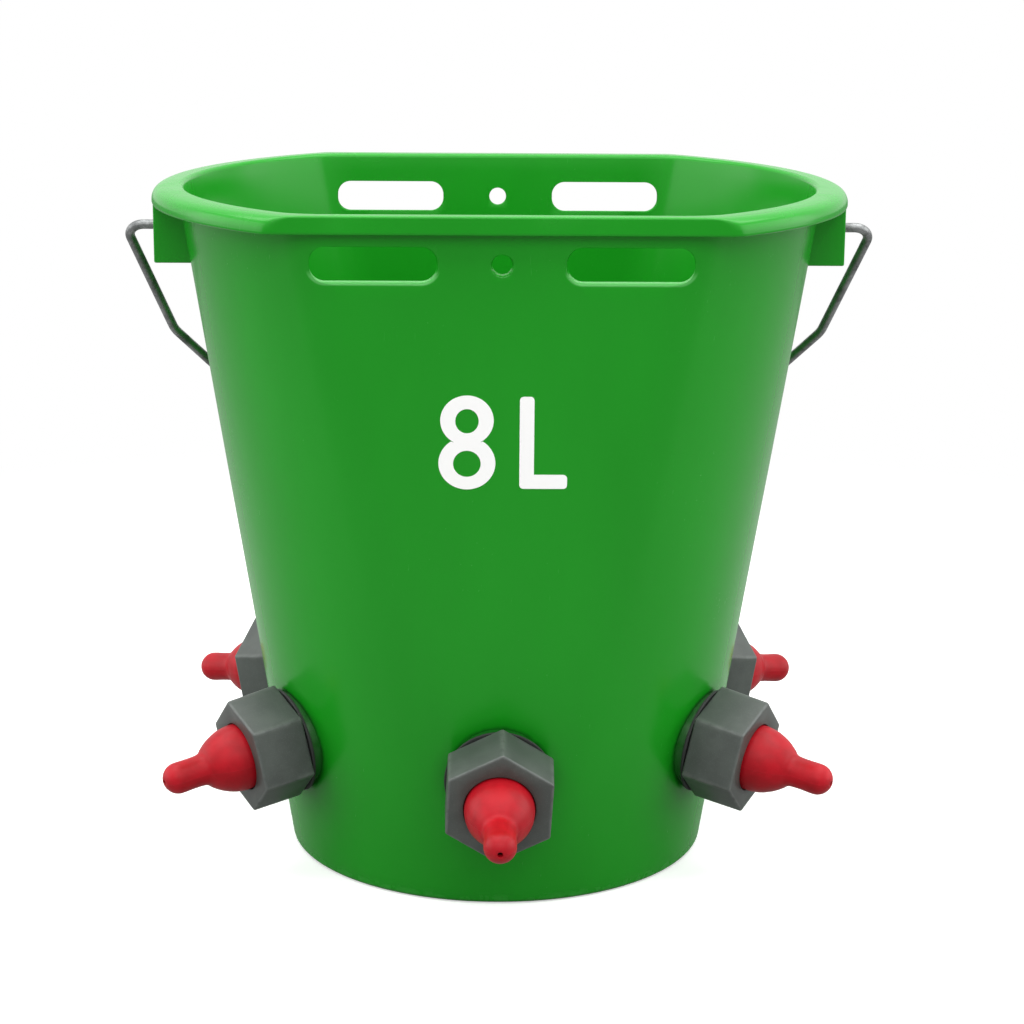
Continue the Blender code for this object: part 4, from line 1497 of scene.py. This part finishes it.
@dataclass
class CapacityMark:
    """The printed capacity on the front panel: an eight of two plain ovals, and a plain L."""

    bucket: Bucket
    ink: bpy.types.Material
    eight_x: float = -12.85 * MM
    upper: Point3 = (199.65 * MM, 10.0 * MM, 9.65 * MM)
    lower: Point3 = (183.1 * MM, 10.7 * MM, 10.2 * MM)
    upper_hole: Point3 = (199.4 * MM, 4.4 * MM, 4.7 * MM)
    lower_hole: Point3 = (182.9 * MM, 5.2 * MM, 5.1 * MM)
    stem: tuple[float, float, float, float] = (6.9 * MM, 12.35 * MM, 173.2 * MM, 208.9 * MM)
    foot: Point2 = (24.9 * MM, 178.7 * MM)
    corner: float = 1.7 * MM
    thickness: float = 0.10 * MM

    def oval(self, sizes: Point3, start: float, sweep: float, steps: int) -> list[Point2]:
        """Walk along an oval of the eight.

        Args:
            sizes: The oval's middle on Z, and half its width and height.
            start: The angle of the first point, in radians.
            sweep: How far it goes round, in radians.
            steps: How many pieces it is cut into.

        Returns:
            Its points in X and Z.
        """
        middle, across, tall = sizes
        angles = [start + sweep * i / steps for i in range(steps + 1)]
        return [
            (self.eight_x + across * math.cos(angle), middle + tall * math.sin(angle)) for angle in angles
        ]

    def eight(self) -> list[list[Point2]]:
        """The eight's outline and its two holes.

        Returns:
            Closed loops in X and Z.
        """
        gap = self.upper[0] - self.lower[0]
        low_angle = math.asin(min(0.5 * gap / self.lower[2], 0.98)) * 1.03
        high_angle = math.asin(min(0.5 * gap / self.upper[2], 0.98)) * 1.03
        lower = self.oval(self.lower, math.pi - low_angle, math.pi + 2.0 * low_angle, 48)
        upper = self.oval(self.upper, -high_angle, math.pi + 2.0 * high_angle, 48)
        whole = 2.0 * math.pi * 39 / 40
        holes = [self.oval(hole, 0.0, whole, 39) for hole in (self.upper_hole, self.lower_hole)]
        return [lower + upper, *holes]

    def letter(self) -> list[Point2]:
        """The L's outline, with rounded corners.

        Returns:
            A closed loop in X and Z.
        """
        left, right, low, high = self.stem
        end, shelf = self.foot
        corners = [(left, low), (end, low), (end, shelf), (right, shelf), (right, high), (left, high)]
        round_corner = {i: self.corner for i in (0, 1, 2, 4, 5)}
        return rounded(corners, round_corner, 6)

    def make(self) -> bpy.types.Object:
        """Lay the print on the panel.

        Returns:
            The print's piece.
        """
        loops = [[(x, z, 0.0) for x, z in loop] for loop in (*self.eight(), self.letter())]
        curve = line_through("capacity_outline", loops, True)
        curve.dimensions = "2D"
        curve.fill_mode = "BOTH"
        curve.extrude = self.thickness
        mesh = settled(add_object("capacity_outline", curve), "capacity_mark")
        for vertex in mesh.vertices:
            x, z, depth = vertex.co
            vertex.co = (x, -self.bucket.panel_distance(z) - depth, z)
        return dressed(outward(mesh, 0.001 * MM), "capacity_mark", self.ink, "bucket")


# Bail


@dataclass
class Bail:
    """The wire bail, at rest against the back panel."""

    bucket: Bucket
    paints: Paints
    wire: float = 4.0 * MM
    length: float = 166.0 * MM
    shoulder_out: float = 12.2 * MM
    knee_in: float = 2.5 * MM
    knee_drop: float = 62.0 * MM
    grip_width: float = 136.0 * MM
    radii: Point3 = (6.0 * MM, 15.0 * MM, 12.0 * MM)
    bend_steps: int = 14
    step: float = 4.0 * MM
    sides: int = 24
    skin: float = 0.06 * MM
    head_radius: float = 3.6 * MM
    head_thickness: float = 2.0 * MM
    head_ease: Point2 = (0.7 * MM, 0.4 * MM)
    clearance: float = 0.3 * MM

    def rest_frame(self) -> Matrix:
        """Frame of the bail at rest.

        Returns:
            A matrix with its origin on the pivot axis, turned so that the grip lies on the back panel.
        """
        angle = math.radians(30.0)
        pivot = self.bucket.height - self.bucket.pivot_depth
        for _ in range(40):
            z = pivot - self.length * math.cos(angle)
            reach = self.bucket.panel_distance(z) + self.wire / 2.0 + self.clearance
            angle = math.asin(reach / self.length)
        return Matrix.Translation((0.0, 0.0, pivot)) @ Matrix.Rotation(angle, 4, "X")

    def rim(self) -> float:
        """Radius of the bucket's rim."""
        return self.bucket.top_radius + self.bucket.rim_overhang

    def head_outer(self) -> float:
        """Outer face of each head, behind its lug's plate."""
        return self.rim() - self.bucket.lug_inset - self.bucket.lug_plate - self.clearance

    def path(self) -> list[Vector]:
        """The wire's middle line, from one head to the other.

        Returns:
            Points with round bends.
        """
        rim, tip = self.rim(), self.head_outer() - self.head_thickness
        shoulder, knee, grip = self.radii
        half = [
            (Vector((tip + self.head_thickness / 2.0, 0.0, 0.0)), 0.0),
            (Vector((rim + self.shoulder_out, 0.0, 0.0)), shoulder),
            (Vector((rim - self.knee_in, 0.0, -self.knee_drop)), knee),
            (Vector((self.grip_width / 2.0, 0.0, -self.length)), grip),
        ]
        corners = half + [(Vector((-place.x, 0.0, place.z)), radius) for place, radius in reversed(half)]
        points = [corners[0][0]]
        for (before, _), (here, radius), (after, _) in zip(corners, corners[1:], corners[2:]):
            back, ahead = (before - here).normalized(), (after - here).normalized()
            bend = back.angle(ahead) / 2.0
            centre = here + (back + ahead).normalized() * radius / math.sin(bend)
            start = here + back * radius / math.tan(bend) - centre
            end = here + ahead * radius / math.tan(bend) - centre
            turns = [i / self.bend_steps for i in range(self.bend_steps + 1)]
            points += [centre + start.slerp(end, turn) * radius for turn in turns]
        points.append(corners[-1][0])
        full: list[Vector] = []
        for a, b in zip(points, points[1:]):
            pieces = max(1, round((b - a).length / self.step))
            full += [a.lerp(b, i / pieces) for i in range(pieces)]
        return full + [points[-1]]

    def make(self, wires: WireTree, lathe: LatheTree) -> list[bpy.types.Object]:
        """Build the bail.

        Args:
            wires: The tree that makes a wire along a curve.
            lathe: The tree that turns its heads.

        Returns:
            The bail's pieces.
        """
        paint = self.paints[Finish.WIRE]
        frame_in = self.rest_frame()
        curve = line_through("bail_path", [[tuple(frame_in @ place) for place in self.path()]], False)
        mesh = wires.run(curve, "bail", paint, Radius=self.wire / 2.0 - self.skin, Sides=self.sides)
        pieces = [dressed(mesh, "bail_wire", paint, "bail", "bail_handle", 40.0)]
        outer = self.head_outer()
        inner = outer - self.head_thickness
        profile = [(0.0, inner), (self.head_radius, inner), (self.head_radius, outer), (0.0, outer)]
        profile = rounded(profile, {1: self.head_ease[0], 2: self.head_ease[1]})
        for side, name in ((-1, "left"), (1, "right")):
            head = lathe.turn("head", profile, 40, paint, False)
            head.transform(frame_in @ Matrix.Rotation(side * math.pi / 2.0, 4, "Y"))
            pieces.append(dressed(head, f"bail_head_{name}", paint, "bail", ""))
        return pieces


# Teat valves


@dataclass
class TeatValve:
    """The pieces of one teat valve, made once about a station's axis and placed at all five stations."""

    bucket: Bucket
    paints: Paints
    lathe: LatheTree
    threads: ThreadTree
    clearance: float = 0.3 * MM
    inner_seat: float = -7.9 * MM
    inner_gasket: float = 1.5 * MM
    outer_gasket: float = 1.2 * MM
    outer_gasket_radius: float = 21.4 * MM
    gasket_bore: float = 16.6 * MM
    spigot_radius: float = 16.25 * MM
    thread_root: float = 15.4 * MM
    spigot_bore: float = 12.3 * MM
    spigot_end: float = 16.5 * MM
    flange_radius: float = 21.0 * MM
    flange_thickness: float = 3.0 * MM
    inlet_radius: float = 4.5 * MM
    key_width: float = 18.0 * MM
    key_height: float = 3.0 * MM
    ball_radius: float = 6.0 * MM
    ball_travel: float = 2.5 * MM
    nut_length: float = 21.5 * MM
    nut_rear_width: float = 41.0 * MM
    nut_front_width: float = 40.4 * MM
    nut_bore: float = 17.4 * MM
    nut_lip: float = 3.2 * MM
    nut_hole: float = 13.9 * MM
    nut_edge: float = 0.8 * MM
    nut_turns: tuple[float, ...] = (-3.0, -10.0, 4.0, -4.0, 10.0)
    pitch: float = 3.0 * MM
    spigot_ridge: float = 0.95 * MM
    nut_ridge: float = 0.9 * MM
    turned_sides: int = 72
    teat_flange_radius: float = 16.0 * MM
    teat_flange: float = 3.0 * MM
    dome_radius: float = 13.5 * MM
    dome_length: float = 16.8 * MM
    flange_ease: float = 0.4 * MM
    teat_reach: float = 33.8 * MM
    neck_radius: float = 6.3 * MM
    tip_radius: float = 6.3 * MM
    teat_wall: float = 2.6 * MM
    outlet_radius: float = 1.0 * MM

    def flange_top(self) -> float:
        """Height of the flange's face on the inner gasket."""
        return self.inner_seat - self.inner_gasket - 2.0 * self.clearance

    def nut_rear(self) -> float:
        """Height of the nut's rear face."""
        return self.outer_gasket + 2.0 * self.clearance

    def nut_front(self) -> float:
        """Height of the nut's front face."""
        return self.nut_rear() + self.nut_length

    def valve_body(self) -> bpy.types.Mesh:
        """The threaded spigot with its flange, inlet and hexagon.

        Returns:
            The mesh about the station's axis.
        """
        paint = self.paints[Finish.VALVE]
        seat, end = self.flange_top(), self.spigot_end
        back = seat - self.flange_thickness
        shank, root = self.spigot_radius, self.thread_root
        profile = [
            (0.0, seat),
            (self.spigot_bore, seat),
            (self.spigot_bore, end),
            (root, end),
            (root, 2.4 * MM),
            (shank, 1.4 * MM),
            (shank, seat),
            (self.flange_radius, seat),
            (self.flange_radius, back),
            (0.0, back),
        ]
        ease = {2: 0.4 * MM, 3: 0.7 * MM, 6: 0.3 * MM, 7: 0.5 * MM, 8: 0.8 * MM, 1: 0.6 * MM}
        core = self.lathe.turn("core", rounded(profile, ease), self.turned_sides, paint, False)
        width = self.key_width
        key = hexagon_mesh((width, back - self.key_height), (width, back + 1.5 * MM), 0.5 * MM, 2)
        inlet = disc_mesh(self.inlet_radius, back - 2.0 * self.key_height, seat + 1.5 * MM, 48)
        core = carve(core, [("UNION", key), ("DIFFERENCE", inlet)], "valve_body")
        return self.with_thread(core, paint, root, (3.2 * MM, end - 1.6 * MM), self.spigot_ridge)

    def with_thread(
        self, core: bpy.types.Mesh, paint: bpy.types.Material, radius: float, span: Point2, ridge: float
    ) -> bpy.types.Mesh:
        """Join a screw thread to a turned piece.

        Args:
            core: The piece.
            paint: The thread's material.
            radius: The radius of the helix.
            span: Where the thread starts and ends on Z.
            ridge: The ridge's radius.

        Returns:
            One mesh of both.
        """
        low, high = span
        seed = bpy.data.meshes.new("thread_seed")
        thread = self.threads.run(
            seed, "thread", paint, Radius=radius, Length=high - low, Turns=(high - low) / self.pitch,
            Steps=48, Ridge=ridge,
        )
        thread.transform(Matrix.Translation((0.0, 0.0, low)))
        bm = bmesh.new()
        bm.from_mesh(core)
        bm.from_mesh(thread)
        bmesh.ops.recalc_face_normals(bm, faces=bm.faces[:])
        return mesh_from(bm, core.name)

    def washer(self, outer: float, low: float, high: float) -> bpy.types.Mesh:
        """A rubber washer with eased edges.

        Args:
            outer: Its outer radius.
            low: Its lower face on Z.
            high: Its upper face on Z.

        Returns:
            The mesh about the station's axis.
        """
        profile = [(self.gasket_bore, low), (outer, low), (outer, high), (self.gasket_bore, high)]
        ease = {i: 0.3 * MM for i in range(4)}
        paint = self.paints[Finish.GASKET]
        return self.lathe.turn("washer", rounded(profile, ease), self.turned_sides, paint)

    def ball(self) -> bpy.types.Mesh:
        """The check ball, with a fine parting land round its middle, lying open against its cage.

        Returns:
            The mesh about the station's axis.
        """
        radius = self.ball_radius
        profile = []
        for i in range(25):
            angle = -math.pi / 2.0 + math.pi * i / 24
            land = 1.0 if abs(angle) < 0.08 else 0.992
            profile.append((max(radius * land * math.cos(angle), 0.0), radius * land * math.sin(angle)))
        mesh = self.lathe.turn("ball", profile, 48, self.paints[Finish.BALL], False)
        inlet_rise = math.sqrt(radius**2 - self.inlet_radius**2)
        lift = self.flange_top() + inlet_rise + self.clearance + self.ball_travel
        mesh.transform(Matrix.Translation((0.0, 0.0, lift)))
        return mesh

    def teat(self) -> bpy.types.Mesh:
        """The rubber teat: clamped flange, dome, nipple and milk hole, hollow right through.

        Returns:
            The mesh about the station's axis.
        """
        low = self.spigot_end + self.clearance
        face = low + self.teat_flange
        nut_face = self.nut_front()
        tip = nut_face + self.teat_reach
        neck = nut_face + self.dome_length
        drop, length, ease = self.dome_radius - self.neck_radius, self.dome_length, self.flange_ease
        outer = [
            (self.teat_flange_radius - ease, low),
            (self.teat_flange_radius, low + ease),
            (self.teat_flange_radius, face - ease),
            (self.teat_flange_radius - ease, face),
            (self.dome_radius + 0.3 * MM, face),
            (self.dome_radius, face + 0.3 * MM),
        ]
        outer += smooth_through([
            (self.dome_radius, nut_face),
            (self.dome_radius, nut_face + 0.12 * length),
            (self.neck_radius + 0.90 * drop, nut_face + 0.38 * length),
            (self.neck_radius + 0.62 * drop, nut_face + 0.66 * length),
            (self.neck_radius + 0.30 * drop, nut_face + 0.86 * length),
            (self.neck_radius + 0.04 * drop, neck),
            (self.neck_radius - 0.12 * MM, neck + 0.25 * length),
            (self.tip_radius, tip - self.tip_radius - 1.0 * MM),
        ], 6)
        last = math.acos((self.outlet_radius + 0.45 * MM) / self.tip_radius)
        for i in range(1, 13):
            angle = last * i / 12
            rise = self.tip_radius * (math.sin(angle) - 1.0)
            outer.append((self.tip_radius * math.cos(angle), tip + rise))
        bore = self.neck_radius - self.teat_wall
        wide = self.dome_radius - self.teat_wall
        inner = [
            (self.outlet_radius + 0.15 * MM, tip - 0.25 * MM),
            (self.outlet_radius, tip - 0.6 * MM),
            (self.outlet_radius, tip - self.teat_wall),
            (0.6 * bore, tip - self.teat_wall - 0.2 * bore),
            (bore, tip - self.teat_wall - bore),
        ]
        inner += smooth_through([
            (bore, neck),
            (bore + 0.6 * (wide - bore), nut_face + 0.62 * length),
            (wide, nut_face + 0.15 * length),
            (wide, low),
        ], 4)
        return self.lathe.turn("teat", outer + inner, 64, self.paints[Finish.TEAT])

    def nut(self) -> bpy.types.Mesh:
        """The hexagon cap nut: rounded edges, threaded bore, and the lip that holds the teat.

        Returns:
            The mesh about the station's axis.
        """
        paint = self.paints[Finish.NUT]
        rear, front = self.nut_rear(), self.nut_front()
        blank = hexagon_mesh((self.nut_rear_width, rear), (self.nut_front_width, front), self.nut_edge, 4)
        bore_end = front - self.nut_lip
        ease = 0.35 * MM
        profile = [
            (0.0, rear - 2.0 * MM),
            (self.nut_bore + ease + 1.5 * MM, rear - 1.5 * MM + 0.15 * MM),
            (self.nut_bore, rear + 2.0 * ease),
            (self.nut_bore, bore_end),
            (self.nut_hole, bore_end),
            (self.nut_hole, front - ease),
            (self.nut_hole + ease * 0.35, front - ease * 0.3),
            (self.nut_hole + ease, front),
            (self.nut_hole + ease + 0.05 * MM, front + 2.0 * MM),
            (0.0, front + 2.0 * MM),
        ]
        bore = self.lathe.turn("bore", profile, self.turned_sides, paint, False)
        mesh = carve(blank, [("DIFFERENCE", bore)], "cap_nut")
        span = (rear + 1.6 * MM, bore_end - 4.2 * MM)
        return self.with_thread(mesh, paint, self.nut_bore + 0.05 * MM, span, self.nut_ridge)

    def place(
        self, mesh: bpy.types.Mesh, name: str, number: int, body: str, finish: Finish, node: str
    ) -> bpy.types.Object:
        """Put a copy of a piece at its station.

        Args:
            mesh: The piece about the station's axis.
            name: The piece's name, without its number.
            number: The station's number.
            body: The body that it rides on.
            finish: Its finish.
            node: The frame's node that it stands for.

        Returns:
            The piece's object.
        """
        copy = mesh.copy()
        local = copy.attributes.new(STATION_PLACE, "FLOAT_VECTOR", "POINT")
        flat = [part for vertex in copy.vertices for part in vertex.co]
        local.data.foreach_set("vector", flat)
        turn = self.nut_turns[number - 1] if finish is Finish.NUT else 0.0
        at = self.bucket.station_frame(self.bucket.station_angles[number - 1])
        copy.transform(at @ Matrix.Rotation(math.radians(turn), 4, "Z"))
        return dressed(copy, f"{name}_{number}", self.paints[finish], body, node)

    def make(self) -> list[bpy.types.Object]:
        """Build all five valves, and paint the cages, whose own meshes are kept.

        Returns:
            The pieces.
        """
        low, high = self.flange_top() + self.clearance, self.clearance
        inner = self.washer(self.flange_radius, low, low + self.inner_gasket)
        outer = self.washer(self.outer_gasket_radius, high, high + self.outer_gasket)
        patterns = [
            (self.valve_body(), "valve_spigot", "bucket", Finish.VALVE, "valve_body"),
            (inner, "inner_washer", "bucket", Finish.GASKET, "inner_gasket"),
            (outer, "outer_washer", "bucket", Finish.GASKET, "outer_gasket"),
            (self.ball(), "valve_ball", "check_ball", Finish.BALL, "check_ball"),
            (self.teat(), "rubber_teat", "teat", Finish.TEAT, "teat"),
            (self.nut(), "hexagon_nut", "cap_nut", Finish.NUT, "cap_nut"),
        ]
        pieces = []
        for number in range(1, len(self.bucket.station_angles) + 1):
            for mesh, name, body, finish, node in patterns:
                rides = body if body == "bucket" else f"{body}_{number}"
                pieces.append(self.place(mesh, name, number, rides, finish, f"{node}_{number}"))
            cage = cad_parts[f"ball_cage_{number}"]
            for socket in cage.material_slots:
                socket.material = self.paints[Finish.VALVE]
        for mesh, *_ in patterns:
            bpy.data.meshes.remove(mesh)
        return pieces


# Studio


@dataclass(frozen=True)
class Lamp:
    """One soft rectangular lamp: where it hangs, where it points, its width and height, and its power."""

    name: str
    place: Point3
    target: Point3
    size: Point2
    watts: float

    def hang(self) -> None:
        """Put the lamp in the scene."""
        light = bpy.data.lights.new(self.name, "AREA")
        light.shape = "RECTANGLE"
        light.size, light.size_y = self.size
        light.energy = self.watts
        thing = add_object(self.name, light)
        thing.location = self.place
        aim = Vector(self.target) - Vector(self.place)
        thing.rotation_euler = aim.to_track_quat("-Z", "Y").to_euler()


@dataclass
class Studio:
    """The floor, the lamps, the surroundings and the camera, whose focal length is in pixels."""

    paints: Paints
    picture_width: float = 1024.0
    focal: float = 2543.12
    eye: Point3 = (-0.010289, -1.031431, 0.397853)
    pitch: float = 0.2458
    yaw: float = 0.0156
    roll: float = -0.0071
    floor_reach: float = 6.0
    floor_drop: float = 0.2 * MM
    sky: float = 0.50
    lamps: tuple[Lamp, ...] = (
        Lamp("overhead", (0.0, 0.05, 1.45), (0.0, 0.0, 0.2), (2.4, 1.6), 40.0),
        Lamp("left_side", (-1.45, -0.10, 0.55), (0.0, 0.0, 0.14), (1.8, 1.1), 11.8),
        Lamp("right_side", (1.45, -0.10, 0.55), (0.0, 0.0, 0.14), (1.8, 1.1), 11.8),
        Lamp("front", (0.0, -1.7, 1.35), (0.0, 0.0, 0.12), (2.2, 1.0), 15.4),
    )

    def floor(self) -> None:
        """Lay a wide floor with the pale floor's material."""
        bm = bmesh.new()
        bmesh.ops.create_grid(bm, x_segments=1, y_segments=1, size=self.floor_reach)
        bmesh.ops.translate(bm, vec=(0.0, 0.0, -self.floor_drop), verts=bm.verts[:])
        thing = add_object("floor", mesh_from(bm, "floor"))
        thing.data.materials.append(self.paints.floor)

    def surroundings(self) -> None:
        """Make the world: white where it is seen, and softer as a light."""
        world = bpy.data.worlds.new("studio")
        g = Graph("studio", world)
        soft = g.node("ShaderNodeBackground", {}, {"Color": WHITE, "Strength": self.sky})
        bright = g.node("ShaderNodeBackground", {}, {"Color": WHITE, "Strength": 1.0})
        g.surface(g.node("ShaderNodeMixShader", {}, {0: g.seen(), 1: soft, 2: bright}))
        bpy.context.scene.world = world

    def camera(self) -> None:
        """Set the camera at the photograph's viewing angle."""
        data = bpy.data.cameras.new("camera")
        data.sensor_width = 36.0
        data.sensor_fit = "HORIZONTAL"
        data.lens = self.focal / self.picture_width * data.sensor_width
        data.clip_start = 0.05
        data.clip_end = 20.0
        thing = add_object("camera", data)
        level = math.cos(self.pitch)
        forward = Vector((math.sin(self.yaw) * level, math.cos(self.yaw) * level, -math.sin(self.pitch)))
        right = Vector((math.cos(self.yaw), -math.sin(self.yaw), 0.0))
        up = right.cross(forward)
        turned = math.cos(self.roll) * right - math.sin(self.roll) * up
        upright = math.sin(self.roll) * right + math.cos(self.roll) * up
        axes = Matrix((turned, upright, -forward)).transposed().to_4x4()
        thing.matrix_world = Matrix.Translation(self.eye) @ axes
        bpy.context.scene.camera = thing

    def make(self) -> None:
        """Set everything up."""
        self.floor()
        self.surroundings()
        for lamp in self.lamps:
            lamp.hang()
        self.camera()
        bpy.context.scene.view_settings.view_transform = "Standard"


# Report


def report(pieces: Iterable[bpy.types.Object]) -> None:
    """Log the name of each piece and how many faces it has."""
    for piece in pieces:
        LOG.info("%s: %d faces", piece.name, len(piece.data.polygons))


def main() -> None:
    """Build every piece in order, log how many faces each has, and set up the studio."""
    logging.basicConfig(level=logging.INFO, format="%(message)s")
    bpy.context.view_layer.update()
    paints = Paints()
    bucket = Bucket(paints)
    report([bucket.make()])
    report([CapacityMark(bucket, paints.ink).make()])
    lathe = LatheTree()
    report(Bail(bucket, paints).make(WireTree(), lathe))
    report(TeatValve(bucket, paints, lathe, ThreadTree()).make())
    Studio(paints).make()


if __name__ == "__main__":
    main()
